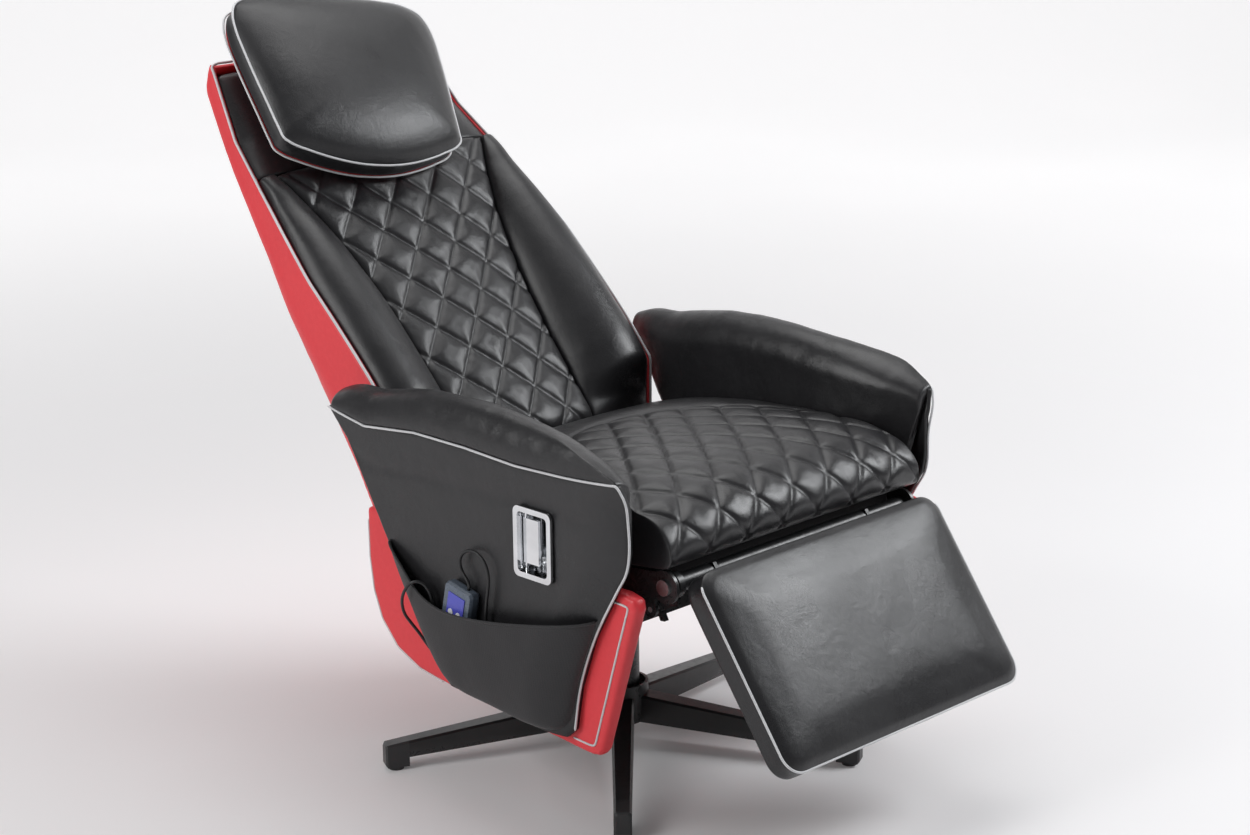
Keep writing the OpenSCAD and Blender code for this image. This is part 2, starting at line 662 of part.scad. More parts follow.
// The arm pad's rows from the front: place along the arm, height and sideways place of its crest, fullness.
// Its rings also lie where the panel's top edge bends, so that it seats on the panel all the way
arm_row_shares = [
    [0.012, 0.03, 0.78, 0.0], [0.045, 0.22, 0.86, 0.22], [0.09, 0.45, 0.92, 0.5], [0.15, 0.65, 0.84, 0.75],
    [0.215, 0.80, 0.70, 0.9], [0.30, 0.93, 0.60, 1.0], [0.41, 1.0, 0.53, 1.0], [0.53, 1.0, 0.53, 1.0],
    [0.65, 0.95, 0.53, 1.0], [0.77, 0.75, 0.52, 0.95], [0.87, 0.46, 0.48, 0.8], [0.94, 0.26, 0.44, 0.55],
    [0.985, 0.06, 0.4, 0.25]
];
arm_row_ends = [arm_row_shares[0][0], arm_row_shares[len(arm_row_shares) - 1][0]];
arm_row_ts = sorted(concat([for (r = arm_row_shares) r[0]],
    [for (p = arm_high_shares) if (p[0] > arm_row_ends[0] && p[0] < arm_row_ends[1]) p[0]]));
function arm_row(t) = [for (c = [0 : 3]) lookup(t, [for (r = arm_row_shares) [r[0], r[c]]])];
arm_arc_steps = 4;
arm_waist = 46;
arm_setback = 24;
arm_setback_run = 60;
arm_setback_share = 0.15;
function arm_set(t, z) = arm_setback * clamp(1 - t / arm_setback_share)
    * clamp((arm_seam_z - arm_setback_run / 2 - z) / arm_setback_run);
function arm_ring(r) = let (
        y = arm_y(r[0]), skin = arm_skin(y, arm_seam_z), full = r[3], high = arm_high(y),
        x_in = mix(side_out - 2 * arm_edge, arm_in, full), x_out = skin + arm_roll_over * full,
        low = min(high - arm_edge, max(arm_pad_z, arm_low(y) + board_inset)),
        top = high + arm_edge + arm_roll_h * r[1],
        waist = max(low + 2 * arm_edge, top - arm_waist * (0.4 + full * 0.6)),
        crest = mix(arm_in, panel_out + arm_roll_over, r[2]),
        cx = clamp(crest, x_in + arm_edge, x_out - arm_edge),
        inner = [for (k = [0 : arm_arc_steps]) let (q = 90 * k / arm_arc_steps)
            [mix(cx, x_in, cos(q)), mix(waist, top, sin(q))]],
        outer = [for (k = [1 : arm_arc_steps]) let (q = 90 * k / arm_arc_steps)
            [mix(cx, x_out, sin(q)), mix(high + arm_edge, top, cos(q))]])
    [for (p = concat([[side_out - seat_gap, low], [x_in + arm_edge, low]], inner, outer,
            [[skin - arm_edge, high + seat_gap], [side_out - seat_gap, high + seat_gap]]))
        [p[0], y + arm_set(r[0], p[1]), p[1]]];
function arm_tip(t) = [side_out - arm_edge, arm_y(t), arm_high(arm_y(t)) + arm_edge];
module arm_pad() loft(
    [for (t = reversed(arm_row_ts)) arm_ring(arm_row(t))],
    tips = [for (t = reversed(arm_row_ends)) arm_tip(t)]);
module arm_pad_l() color(black) arm_pad();
module arm_pad_r() color(black) to_right() arm_pad();

// Pocket on the outside of the right-hand arm: hem and foot, as shares of the arm's length and height
hem_shares = [[0.094, 0.478], [0.13, 0.465], [0.2, 0.445], [0.31, 0.412], [0.41, 0.387], [0.5, 0.373],
    [0.575, 0.375], [0.645, 0.405], [0.715, 0.475], [0.785, 0.542]];
foot_shares = [[0.102, 0.455], [0.126, 0.365], [0.158, 0.235], [0.2, 0.045], [0.3, 0.02], [0.42, 0.034],
    [0.54, 0.05], [0.615, 0.115], [0.7, 0.315], [0.778, 0.5]];
pocket_rows = 5;
pocket_gap = 1;
function pocket_point(u, v) = let (f = foot_shares[u], h = hem_shares[u])
    [mix(-arm_front_y, arm_rear_y, mix(f[0], h[0], v)), mix(arm_bottom_z, arm_seam_z, mix(f[1], h[1], v))];
function pocket_lift(u, v) = let (n = len(hem_shares) - 1)
    u == 0 || u == n || v == 0 ? 0 : pocket_deep * pow(sin(180 * u / n), 0.6) * pow(v, 0.35);
function pocket_ring(u) = concat(
    [for (k = [0 : pocket_rows]) let (v = k / pocket_rows, p = pocket_point(u, v))
        [arm_skin(p[0], p[1]) + pocket_gap + pocket_lift(u, v), p[0], p[1]]],
    [for (k = [pocket_rows : -1 : 0]) let (v = k / pocket_rows, p = pocket_point(u, v))
        [arm_skin(p[0], p[1]) + pocket_gap + pocket_t + pocket_lift(u, v), p[0], p[1]]]);
module arm_pocket() color(black) to_right() loft([for (u = [len(hem_shares) - 1 : -1 : 0]) pocket_ring(u)]);

// Chrome housing of the release handle: rim on the outer panel and finger cup through the arm
bezel_corner_r = 9;
cup_corner_r = 6;
cup_in = panel_out - cup_depth;
paddle_pin_r = 2;
paddle_t = 4;
paddle_pin_y = -bezel_y + cup_w / 2 - cup_wall - 5 * paddle_pin_r / 2;
paddle_pin_x = panel_out - 2 * paddle_t;
module handle_housing() color("silver") to_right() difference() {
    union() {
        translate([panel_out + seat_gap, -bezel_y, bezel_z]) rotate([90, 0, 90]) linear_extrude(bezel_t)
            round_rect(bezel_w, bezel_h, bezel_corner_r);
        translate([cup_in, -bezel_y, bezel_z]) rotate([90, 0, 90]) linear_extrude(cup_depth + seat_gap)
            square([cup_w - seat_gap, cup_h - seat_gap], center = true);
    }
    translate([cup_in + cup_wall, -bezel_y, bezel_z]) rotate([90, 0, 90])
        linear_extrude(cup_depth + seat_gap + bezel_t)
            round_rect(cup_w - 2 * cup_wall, cup_h - 2 * cup_wall, cup_corner_r);
    translate([paddle_pin_x, paddle_pin_y, bezel_z - cup_h / 2 - over])
        cylinder(r = paddle_pin_r, h = cup_h + 2 * over, $fn = 32);
}
module paddle_pin() color("silver") to_right() translate([paddle_pin_x, paddle_pin_y, bezel_z - cup_h / 2])
    cylinder(r = paddle_pin_r, h = cup_h, $fn = 32);
paddle_h = 62;
knuckle_r = 2 * paddle_pin_r;
module paddle() color("silver") to_right() difference() {
    union() {
        translate([paddle_pin_x, paddle_pin_y, bezel_z - paddle_h / 2])
            cylinder(r = knuckle_r, h = paddle_h, $fn = 48);
        translate([paddle_pin_x, paddle_pin_y - paddle_w, bezel_z - paddle_h / 2])
            cube([paddle_t, paddle_w, paddle_h]);
    }
    translate([paddle_pin_x, paddle_pin_y, bezel_z - paddle_h / 2 - over])
        cylinder(r = paddle_pin_r + run_gap, h = paddle_h + 2 * over, $fn = 48);
}

// Round cord through a list of points, as one tube
cord_sides = 8;
function along(p, i) = let (d = p[min(i + 1, len(p) - 1)] - p[max(i - 1, 0)]) d / norm(d);
function carried(v, t) = let (w = v - (v * t) * t) w / norm(w);
function frames(p, i = 0, v = [0, 0, 1]) = i >= len(p) ? []
    : let (w = carried(norm(cross(v, along(p, i))) < 0.1 ? [0.6, 0.8, 0] : v, along(p, i)))
        concat([w], frames(p, i + 1, w));
module tube(p, d) {
    side = frames(p);
    loft([for (i = [0 : len(p) - 1]) let (t = along(p, i), a = side[i], b = cross(t, a))
        [for (k = [0 : cord_sides - 1]) let (q = 360 * k / cord_sides)
            p[i] + d / 2 * (a * cos(q) - b * sin(q))]]);
}

// Release cable from the finger cup to its clip behind the front rail, along the inside of the arm
cable_d = 5;
clip_l = 14;
clip_h = 16;
clip_w = 22;
clip_x = plate_in - clip_w / 3;
clip_y = -rail_front_y + rail_side;
clip_z = rail_bottom + rail_side / 2;
cable_end = [
    -clip_x - clip_w / 2 - seat_gap,
    (clip_y + clip_l / 2) * cos(seat_tilt) + clip_z * sin(seat_tilt),
    seat_datum_z - (clip_y + clip_l / 2) * sin(seat_tilt) + clip_z * cos(seat_tilt)
];
// Each point's distance outward from the cushion's side, then y and z
cable_places = [
    [45, -160, 386], [36, -160, 386], [26, -160, 385], [16, -161, 382], [9, -166, 375],
    [6, -175, 364], [6, -186, 352], [6, -198, 342], [6, -211, 334], [5, -224, 330],
    [2, -235, 328], [-3, -242, 327]
];
cable_route = [for (p = cable_places) [-seat_w / 2 - p[0], p[1], p[2]]];
module release_cable() color("#1c1c1c") tube(concat(cable_route, [cable_end]), cable_d);
module cable_clip() color(steel) on_seat() translate([-clip_x - clip_w / 2, clip_y, clip_z - clip_h / 2])
    cube([clip_w, clip_l, clip_h]);

// Friction latch: a lever whose shoe bears on the drum of the torque tube
drum_r = 18;
latch_t = 8;
latch_in = plate_in - 2 * latch_t;
module latch_pin() color("silver") on_seat() to_right()
    translate([latch_in - over, latch_eye[0], latch_eye[1]]) rotate([0, 90, 0])
        cylinder(r = latch_pin_r, h = plate_out - latch_in + over, $fn = 32);
latch_hub_r = 8;
shoe_gap = 0.3;
tail_l = 18;
tail_w = 8;
shoe_y = foot_eye[0];
shoe_z = foot_eye[1] - drum_r - shoe_gap;
module latch_lever() color("#5b5e63") on_seat() to_right() slab(latch_in, latch_in + latch_t) difference() {
    union() {
        eye(latch_eye, latch_hub_r);
        polygon([
            latch_eye + [latch_hub_r / 4, latch_hub_r / 2], [shoe_y, shoe_z], [shoe_y - latch_hub_r, shoe_z],
            [shoe_y - latch_hub_r, shoe_z - latch_hub_r], latch_eye + [latch_hub_r / 4, -latch_hub_r * 0.85]
        ]);
        polygon([
            latch_eye + [-3 * tail_w / 2, -tail_l], latch_eye + [-tail_w / 2, -tail_l],
            latch_eye + [tail_w / 2, latch_hub_r / 3], latch_eye + [-tail_w / 2, latch_hub_r / 3]
        ]);
    }
    eye(latch_eye, latch_pin_r + run_gap);
}

control_inset = 50;
control_x = seat_w / 2 - control_inset;
control_w = 90;
control_l = 70;
control_h = 28;
module control_box() color("#303236") on_seat()
    translate([-control_x, rail_rear_y - rail_side - control_l, rail_bottom + (rail_side - control_h) / 2])
        cube([control_w, control_l, control_h]);

inlet_flange_r = 10;
inlet_flange_t = 2;
inlet_bore_r = 3.2;
inlet_l = 20;
module power_inlet() color("#1c1c1c")
    translate([-inlet_x, rear_panel_y + rear_panel_t + inlet_flange_t, inlet_z])
    rotate([90, 0, 0]) difference() {
        union() {
            cylinder(r = inlet_flange_r, h = inlet_flange_t, $fn = 48);
            cylinder(r = inlet_r, h = inlet_l, $fn = 48);
        }
        translate([0, 0, -over]) cylinder(r = inlet_bore_r, h = inlet_l / 2 + over, $fn = 32);
    }

// Handset, standing in the pocket with its keys outwards. Its frame has Z up its length, -X out of its face
handset_y = -17;
handset_z = 275;
handset_gap = 1;
handset_x = panel_out + handset_gap + handset_t / 2;
module on_handset() translate([-handset_x, handset_y, handset_z]) rotate([handset_lean, 0, 0]) children();
handset_r = 7;
keypad_w_share = 0.6;
keypad_t = 1.2;
keypad_l = 58;
keypad_top = 12;
key_pitch = 15;
key_r = button_d / 2;
key_stand = 1.8;
keypad_mid = handset_l / 2 - keypad_top - keypad_l / 2;
function key_place(k) = [0, (k % 2 - 0.5) * key_pitch, keypad_mid - (floor(k / 2) - 0.1) * key_pitch];
module keys() for (k = [0 : 3]) translate(key_place(k)) rotate([0, -90, 0]) children();
module handset_case() color(grey) on_handset() difference() {
    hull() for (y = [-1, 1], z = [-1, 1])
        translate([0, y * (handset_w / 2 - handset_r), z * (handset_l / 2 - handset_r)]) rotate([0, 90, 0]) {
            cylinder(r = handset_r, h = handset_t / 2, center = true, $fn = 24);
            cylinder(r = handset_r - handset_t / 8, h = handset_t, center = true, $fn = 24);
        }
    keys() translate([0, 0, handset_t / 2 - 2 * button_travel])
        cylinder(r = key_r + shoe_gap, h = 3 * button_travel, $fn = 32);
}
module handset_keypad() color("#5a5fd0") on_handset() difference() {
    translate([-handset_t / 2 - keypad_t, -handset_w * keypad_w_share / 2, keypad_mid - keypad_l / 2])
        cube([keypad_t, handset_w * keypad_w_share, keypad_l]);
    keys() translate([0, 0, handset_t / 2 - over])
        cylinder(r = key_r + shoe_gap, h = keypad_t + 2 * over, $fn = 32);
}
module button(k) color("#dfe3ea") on_handset() translate(key_place(k)) rotate([0, -90, 0])
    translate([0, 0, handset_t / 2 - button_travel + shoe_gap / 2])
        cylinder(r = key_r, h = keypad_t + button_travel + key_stand / 3, $fn = 32);
module button_1() button(0);
module button_2() button(1);
module button_3() button(2);
module button_4() button(3);

// Handset cord: up out of the handset in a loop, down into the pocket and under the handset, out over the
// hem, down behind the arm panel, through the side panel and to the control box
cord_route = [
    [-328, -38.7, 323.7], [-328, -40, 330], [-328, -37, 336], [-328, -30, 343], [-328, -24, 352],
    [-328, -23, 363], [-328, -30, 374], [-328, -42, 380], [-328, -56, 380], [-328, -68, 374],
    [-328, -76, 363], [-328, -79, 350], [-328, -78, 336], [-328, -75, 320], [-328, -73, 304],
    [-328, -72, 286], [-327, -73, 268], [-326, -74, 250],
    [-325, -72, 232], [-324, -66, 216], [-323, -55, 204], [-323, -40, 197], [-323, -24, 195], [-324, -8, 197],
    [-325, 6, 205], [-326, 16, 218], [-327, 22, 234], [-328, 26, 252], [-329, 30, 270], [-330, 34, 287],
    [-331, 40, 303], [-334, 47, 312], [-341, 55, 316], [-346, 63, 311], [-347, 71, 301], [-345, 79, 289],
    [-340, 86, 274], [-332, 90, 257], [-321, 90, 241], [-311, 86, 225], [-305, 79, 211],
    [-302, 69, 200], [-301, 56, 193],
    [-301, 42, 190], [-301, 28, 191], [-300, 17, 194], [-296, 10, 196], [-289, 8, 196], [-281, 8, 196],
    [-272, 8, 196], [-263, 9, 197], [-254, 13, 201], [-246, 21, 209], [-239, 32, 222], [-233, 44, 238],
    [-227, 56, 255], [-220, 67, 270], [-211, 76, 281], [-206, 80, 286], [-201, 82, 288]
];
module handset_cord() color("#161616") tube(cord_route, cord_d);

// Half widths and depths along the back; s runs up from the hinge and depth is towards the front
back_shoulder_s = 310;
back_taper = 1.2;
shell_foot_s = -15;
function part_way(s, a, b) = clamp((s - a) / (b - a));
function back_half(s) = back_w / 2
    - (back_w - back_top_w) / 2 * pow(part_way(s, back_shoulder_s, back_l), back_taper);
quilt_power = 3;
function quilt_half(s) = mix(quilt_foot_w, quilt_top_w, pow(clamp(s / quilt_top_s), quilt_power)) / 2;
// Depth of the seam between black and red: proud at arm level, behind the pads higher up
seam_deep = 66;
seam_low_s = 130;
seam_waist_s = 575;
seam_waist = 8;
seam_top = 17;
seam_foot_s = 60;
function seam_depth(s) = s < seam_foot_s ? seam_deep * part_way(s, shell_foot_s, seam_foot_s)
    : s < seam_waist_s ? mix(seam_deep, seam_waist, pow(part_way(s, seam_low_s, seam_waist_s), 1.3))
    : mix(seam_waist, seam_top, part_way(s, seam_waist_s, back_l));
shell_swell_s = 400;
shell_taper_s = 540;
shell_taper = 8;
function rear_depth(s) = shell_taper * pow(part_way(s, shell_taper_s, back_l), 1.2)
    - mix(shell_top_d, shell_foot_d, pow(clamp(1 - s / shell_swell_s), 1.2));

// Shell section at a height: outside from one seam round the back to the other, then back along the inside
shell_row_shares = [0, 0.048, 0.104, 0.174, 0.243, 0.326, 0.451, 0.5, 0.57, 0.64, 0.715, 0.82, 0.91, 0.968,
    0.993, 1];
shell_rows = [for (t = shell_row_shares) mix(shell_foot_s, back_l, t)];
shell_corner_shares = [
    [0, 1], [0, 0.45], [0, 0.22], [0.03, 0.07], [0.09, 0], [0.4, -0.02], [0.75, -0.03], [1, -0.03]
];
// Share of the back's length above which the shell closes forwards, and above which it is its own roof
shell_close_share = 0.955;
shell_roof_share = 0.99;
function shell_rear(s) = let (close = pow(part_way(s, back_l * shell_close_share, back_l), 2))
    mix(rear_depth(s), seam_depth(s) - shell_t, close);
function shell_half_ring(s, inset) = let (w = back_half(s) - inset, front = seam_depth(s),
        roof = s > back_l * shell_roof_share, rear = shell_rear(s) + (roof ? 0 : inset))
    [for (p = shell_corner_shares) [w * (1 - p[0]), -mix(rear, front, p[1]), s - (roof ? inset : 0)]];
function mirrored(ring) = [for (k = [len(ring) - 2 : -1 : 0]) [-ring[k][0], ring[k][1], ring[k][2]]];
function shell_ring(s) = let (outer = shell_half_ring(s, 0), inner = shell_half_ring(s, shell_t))
    concat(outer, mirrored(outer), reversed(concat(inner, mirrored(inner))));
module back_shell() color(red) on_back() loft([for (s = reversed(shell_rows)) shell_ring(s)], wall = true);

// Bent tube frame of the back, with the lugs that the hinge pins run in
tube_y = board_t + seat_gap + back_tube_d / 2;
frame_top_s = 590;
frame_low_s = 46;
frame_top_x = back_top_w / 2 - 2 * back_tube_d;
frame_low_x = lug_in + lug_t / 2 - back_tube_d / 2;
cross_tube_d = back_tube_d - 2;
lug_r = 20;
lug_top_s = 110;
lug_neck_s = 2 * lug_r;
frame_cross_shares = [0.1, 0.52, 1];
module bar(a, b, d) let (v = b - a, l = norm(v)) translate(a)
    rotate([0, acos(v[2] / l), atan2(v[1], v[0])]) cylinder(d = d, h = l, $fn = 32);
module back_frame() color(steel) on_back() {
    both_sides() {
        bar([frame_low_x, tube_y, frame_low_s], [frame_top_x, tube_y, frame_top_s + back_tube_d / 2],
            back_tube_d);
        difference() {
            slab(lug_in, lug_out) union() {
                eye([0, 0], lug_r);
                polygon([
                    [-lug_r * 0.7, lug_r * 0.5], [lug_r * 0.8, 0], [tube_y + back_tube_d / 2, lug_neck_s],
                    [tube_y + back_tube_d / 2, lug_top_s], [tube_y - back_tube_d / 2, lug_top_s],
                    [tube_y - back_tube_d / 2, lug_neck_s]
                ]);
            }
            translate([lug_in - over, 0, 0]) rotate([0, 90, 0])
                cylinder(r = back_pin_r + run_gap, h = lug_t + 2 * over, $fn = 48);
        }
    }
    for (t = frame_cross_shares) let (x = mix(frame_low_x, frame_top_x, t))
        translate([-x, tube_y, mix(frame_low_s, frame_top_s, t)]) rotate([0, 90, 0])
            cylinder(d = cross_tube_d, h = 2 * x, $fn = 32);
}

// Heights at which the outlines of the board and pads are taken
pad_foot_s = 30;
board_steps = 9;
side_clear = shell_t + 1;
board_top_s = back_l * shell_close_share - side_clear;
board_heights = [for (k = [0 : board_steps]) mix(pad_foot_s, board_top_s, k / board_steps)];
module back_board() color("#b89a6c") on_back() translate([0, board_t, 0]) rotate([90, 0, 0])
    linear_extrude(board_t - seat_gap) difference() {
        polygon(concat(
            [for (s = board_heights) [back_half(s) - side_clear, s]],
            [for (s = reversed(board_heights)) [-back_half(s) + side_clear, s]]));
        both_sides() translate([lug_in - seat_gap, 0]) square([back_w / 2, lug_neck_s + seat_gap]);
    }

back_motor_d = 38;
back_motor_h = 15;
// Shares of the back's half width, and of the frame's height between its cross tubes
back_motor_shares = [[0.28, 0.3], [0.35, 0.62]];
module back_motors() color("#8a8a8a") on_back() both_sides() for (p = back_motor_shares)
    translate([p[0] * back_w / 2, board_t, mix(frame_low_s, frame_top_s, p[1])]) rotate([-90, 0, 0])
        cylinder(d = back_motor_d, h = back_motor_h, $fn = 48);

// Quilted pad: rows and columns half a diamond apart, low where the sewn lines cross
quilt_rise = 9;
quilt_crown = 8;
quilt_steps = round((quilt_top_s - pad_foot_s) / (diamond_l / 2));
quilt_half_cols = ceil(quilt_top_w / diamond_w);
quilt_squeeze = 1;
pad_seam_gap = 0.5;
function quilt_row(i) = let (
        s = mix(pad_foot_s, quilt_top_s - pad_seam_gap, i / quilt_steps), w = quilt_half(s) - pad_seam_gap)
    concat(
        [for (k = [-quilt_half_cols : quilt_half_cols]) let (
                a = abs(k), limit = w - (quilt_half_cols - a) * quilt_squeeze,
                x = min(a * diamond_w / 2, limit),
                inside = a * diamond_w / 2 < limit && i > 0 && i < quilt_steps,
                crown = inside ? quilt_crown * (1 - pow(x / w, 2)) : 0,
                d = pad_h + crown + (inside && (a + i) % 2 == 1 ? quilt_rise : 0))
            [sign(k) * (a == quilt_half_cols ? w : x), -d, s]],
        [[w, 0, s], [-w, 0, s]]);
module quilt_pad() color(black) on_back() loft([for (i = [quilt_steps : -1 : 0]) quilt_row(i)]);

// Bolster between the quilted pad and the shell
bolster_row_shares = [0, 0.05, 0.13, 0.23, 0.34, 0.45, 0.56, 0.67, 0.78, 0.88, 0.95, 1];
bolster_swell_shares = [0.2, 0.75, 1, 1, 1, 1, 0.95, 0.85, 0.7, 0.5, 0.4, 0.2];
bolster_steps = 7;
function bolster_ring(i) = let (
        s = mix(pad_foot_s, quilt_top_s - pad_seam_gap, bolster_row_shares[i]),
        x0 = quilt_half(s) + pad_seam_gap, x1 = back_half(s) - shell_t - pad_seam_gap,
        d0 = pad_h, d1 = max(seam_depth(s), pad_seam_gap), swell = bolster_swell * bolster_swell_shares[i])
    concat([for (k = [0 : bolster_steps]) let (t = k / bolster_steps)
        [mix(x0, x1, t), -(mix(d0, d1, t) + swell * pow(sin(180 * t), 0.8)), s]], [[x1, 0, s], [x0, 0, s]]);
module bolster() loft([for (i = [len(bolster_row_shares) - 1 : -1 : 0]) bolster_ring(i)]);
module bolster_l() color(black) on_back() bolster();
module bolster_r() color(black) on_back() to_right() bolster();

// Plain pad above the quilting, behind the head pillow
top_steps = 5;
top_cols = 10;
function top_ring(i) = let (
        s = mix(quilt_top_s + pad_seam_gap, back_l - 3 * side_clear, i / top_steps),
        w = back_half(s) - shell_t - pad_seam_gap, edge = seam_depth(s), last = i == top_steps)
    concat([for (k = [0 : top_cols]) let (u = 2 * k / top_cols - 1)
        [u * w, -(edge + (last ? 0 : (pad_h - edge) * (1 - pow(abs(u), 6)))), s]], [[w, 0, s], [-w, 0, s]]);
module top_pad() color(black) on_back() loft([for (i = [top_steps : -1 : 0]) top_ring(i)]);

// Head pillow: a side band and a crowned face on an outline that narrows downwards to two sharp corners
pillow_side_shares = [
    [0, -1], [0.22, -0.985], [0.45, -0.93], [0.68, -0.84], [0.84, -0.755], [0.89, -0.7], [0.905, -0.6],
    [0.935, -0.3], [0.965, 0], [0.99, 0.3], [1, 0.55], [0.985, 0.7], [0.93, 0.84], [0.8, 0.93], [0.55, 0.98],
    [0.27, 0.995], [0, 1]
];
pillow_loop = concat(pillow_side_shares,
    [for (k = [len(pillow_side_shares) - 2 : -1 : 1]) [-pillow_side_shares[k][0], pillow_side_shares[k][1]]]);
pillow_ring_shares = [
    [0.985, 0, 0], [1, 0.25, 0], [1, 1, 0], [0.95, 1, 0.28], [0.85, 1, 0.56], [0.7, 1, 0.78],
    [0.5, 1, 0.92], [0.26, 1, 0.99]
];
pillow_back = pad_h + quilt_crown + quilt_rise + seat_gap;
function pillow_ring(r) = let (depth = pillow_back + r[1] * pillow_band + r[2] * pillow_crown)
    [for (p = pillow_loop) [r[0] * p[0] * pillow_w / 2, -depth, r[0] * p[1] * pillow_l / 2]];
module head_pillow() color(black) on_back() translate([-pillow_shift, 0, pillow_top_s - pillow_l / 2])
    rotate([0, pillow_lean, 0]) loft([for (r = reversed(pillow_ring_shares)) pillow_ring(r)]);

// Footrest: frame with torque tube and swing arms, board and crowned pad
foot_face_y = -58;
foot_top_s = -7;
foot_arm_x = 150;
foot_arm_t = 6;
foot_arm_l = 215;
foot_back_y = foot_face_y + foot_band;
foot_rear_y = foot_back_y + foot_board_t + seat_gap;
tube_end = plate_in - 2;
drum_in = latch_in - 1;
drum_l = latch_t + 2;
module foot_arm_outline() polygon([
    [foot_rear_y + seat_gap, torque_tube_d / 3], [0, torque_tube_d / 2],
    [(torque_tube_d + foot_arm_t) / 2, 0], [foot_arm_t, -foot_arm_l], [foot_rear_y + seat_gap, -foot_arm_l]
]);
module foot_frame() color(steel) on_foot() difference() {
    union() {
        translate([-tube_end, 0, 0]) rotate([0, 90, 0])
            cylinder(d = torque_tube_d, h = 2 * tube_end, $fn = 64);
        translate([-drum_in - drum_l, 0, 0]) rotate([0, 90, 0]) cylinder(r = drum_r, h = drum_l, $fn = 64);
        both_sides() slab(foot_arm_x, foot_arm_x + foot_arm_t) foot_arm_outline();
    }
    translate([-tube_end - over, 0, 0]) rotate([0, 90, 0])
        cylinder(r = foot_pin_r + run_gap, h = 2 * tube_end + 2 * over, $fn = 64);
}
foot_board_inset = 14;
module foot_board() color("#b89a6c") on_foot() translate([0, foot_rear_y, foot_top_s - foot_l / 2])
    rotate([90, 0, 0]) linear_extrude(foot_board_t)
        round_rect(foot_w - 2 * foot_board_inset, foot_l - 2 * foot_board_inset, foot_corner_r / 2);

foot_ring_shares = [[0.985, 0], [1, 0.3], [1, 1], [0.965, 1.4], [0.88, 1.72], [0.7, 1.93], [0.4, 2]];
foot_corner_steps = 5;
// Loop of a rectangle with round corners, each an arc of some steps
corner_shares = [[1, 1], [-1, 1], [-1, -1], [1, -1]];
function round_loop(w, l, r, n) = [for (c = [0 : 3], k = [0 : n]) let (t = 90 * (c + k / n))
    [corner_shares[c][0] * (w / 2 - r) + r * cos(t), corner_shares[c][1] * (l / 2 - r) + r * sin(t)]];
function foot_ring(r) = let (
        d = r[1] <= 1 ? r[1] * foot_band : foot_band + (r[1] - 1) * foot_crown,
        inset = (1 - r[0]) * foot_l / 2, w = foot_w - 2 * inset, l = foot_l - 2 * inset,
        corner = foot_corner_r * (0.5 + r[0] / 2))
    [for (p = round_loop(w, l, corner, foot_corner_steps))
        [p[0], foot_back_y - d, foot_top_s - foot_l / 2 + p[1]]];
module foot_pad() color(black) on_foot() loft([for (r = reversed(foot_ring_shares)) foot_ring(r)]);

foot_bolt_shares = [0.35, 0.85];
module foot_bolts() color("silver") on_foot() both_sides() for (t = foot_bolt_shares)
    translate([foot_arm_x - 2 * bolt_r, foot_rear_y, -foot_arm_l * t]) rotate([-90, 0, 0]) dome();

place() star_base();
place() leg_caps();
place() glides();
place() hub_bushes();
place() thrust_washer();
place() column();
place() column_rings();
place() swivel_plate();
place() long_rails();
place() front_rail();
place() rear_rail();
place() rail_bolts();
place() seat_box();
place() seat_platform();
place() side_plate_r();
place() side_plate_l();
place() back_pins();
place() foot_pins();
place() plate_bolts();
place() seat_cushion();
place() seat_motors();
place() side_panel_r();
place() side_panel_l();
place() rear_panel();
place() arm_board_r();
place() arm_board_l();
place() arm_panel_r();
place() arm_panel_l();
place() arm_pad_r();
place() arm_pad_l();
place() arm_pocket();
place() handle_housing();
place() paddle_pin();
place() paddle();
place() release_cable();
place() cable_clip();
place() latch_pin();
place() latch_lever();
place() control_box();
place() power_inlet();
place() handset_case();
place() handset_keypad();
place() button_1();
place() button_2();
place() button_3();
place() button_4();
place() handset_cord();
place() back_frame();
place() back_board();
place() back_shell();
place() quilt_pad();
place() bolster_r();
place() bolster_l();
place() top_pad();
place() head_pillow();
place() back_motors();
place() foot_frame();
place() foot_board();
place() foot_pad();
place() foot_bolts();
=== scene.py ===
import json
import math

import bmesh
import bpy
import numpy as np
from mathutils import Matrix, Vector, noise


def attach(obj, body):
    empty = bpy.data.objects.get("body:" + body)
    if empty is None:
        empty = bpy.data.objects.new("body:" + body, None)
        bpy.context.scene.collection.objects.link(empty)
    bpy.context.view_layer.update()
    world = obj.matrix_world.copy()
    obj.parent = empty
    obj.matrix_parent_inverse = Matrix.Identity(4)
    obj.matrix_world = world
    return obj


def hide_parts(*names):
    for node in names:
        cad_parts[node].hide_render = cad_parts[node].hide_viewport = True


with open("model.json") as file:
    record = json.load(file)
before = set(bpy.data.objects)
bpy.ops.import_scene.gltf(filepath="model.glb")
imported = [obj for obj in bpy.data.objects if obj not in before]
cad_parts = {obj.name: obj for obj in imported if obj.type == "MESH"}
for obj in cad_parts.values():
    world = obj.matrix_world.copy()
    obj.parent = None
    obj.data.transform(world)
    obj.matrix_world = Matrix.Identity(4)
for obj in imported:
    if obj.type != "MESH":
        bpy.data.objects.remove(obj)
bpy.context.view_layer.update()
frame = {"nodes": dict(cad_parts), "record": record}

scene = bpy.context.scene

# Lengths below are in millimetres, as in the part's source, in the frame of the swivel's axis.
# X runs to the sitter's left, -Y to the front and Z up.
MM = 0.001
SWIVEL_Y = -62.0

SEAT_ORIGIN = (0.0, 367.0)
SEAT_TILT = -6.0
BACK_ORIGIN = (200.0, 400.0)
BACK_TILT = -41.2
FOOT_ORIGIN = (-322.0, 374.0)
FOOT_TILT = -35.9


def mix(a, b, t):
    return a + (b - a) * t


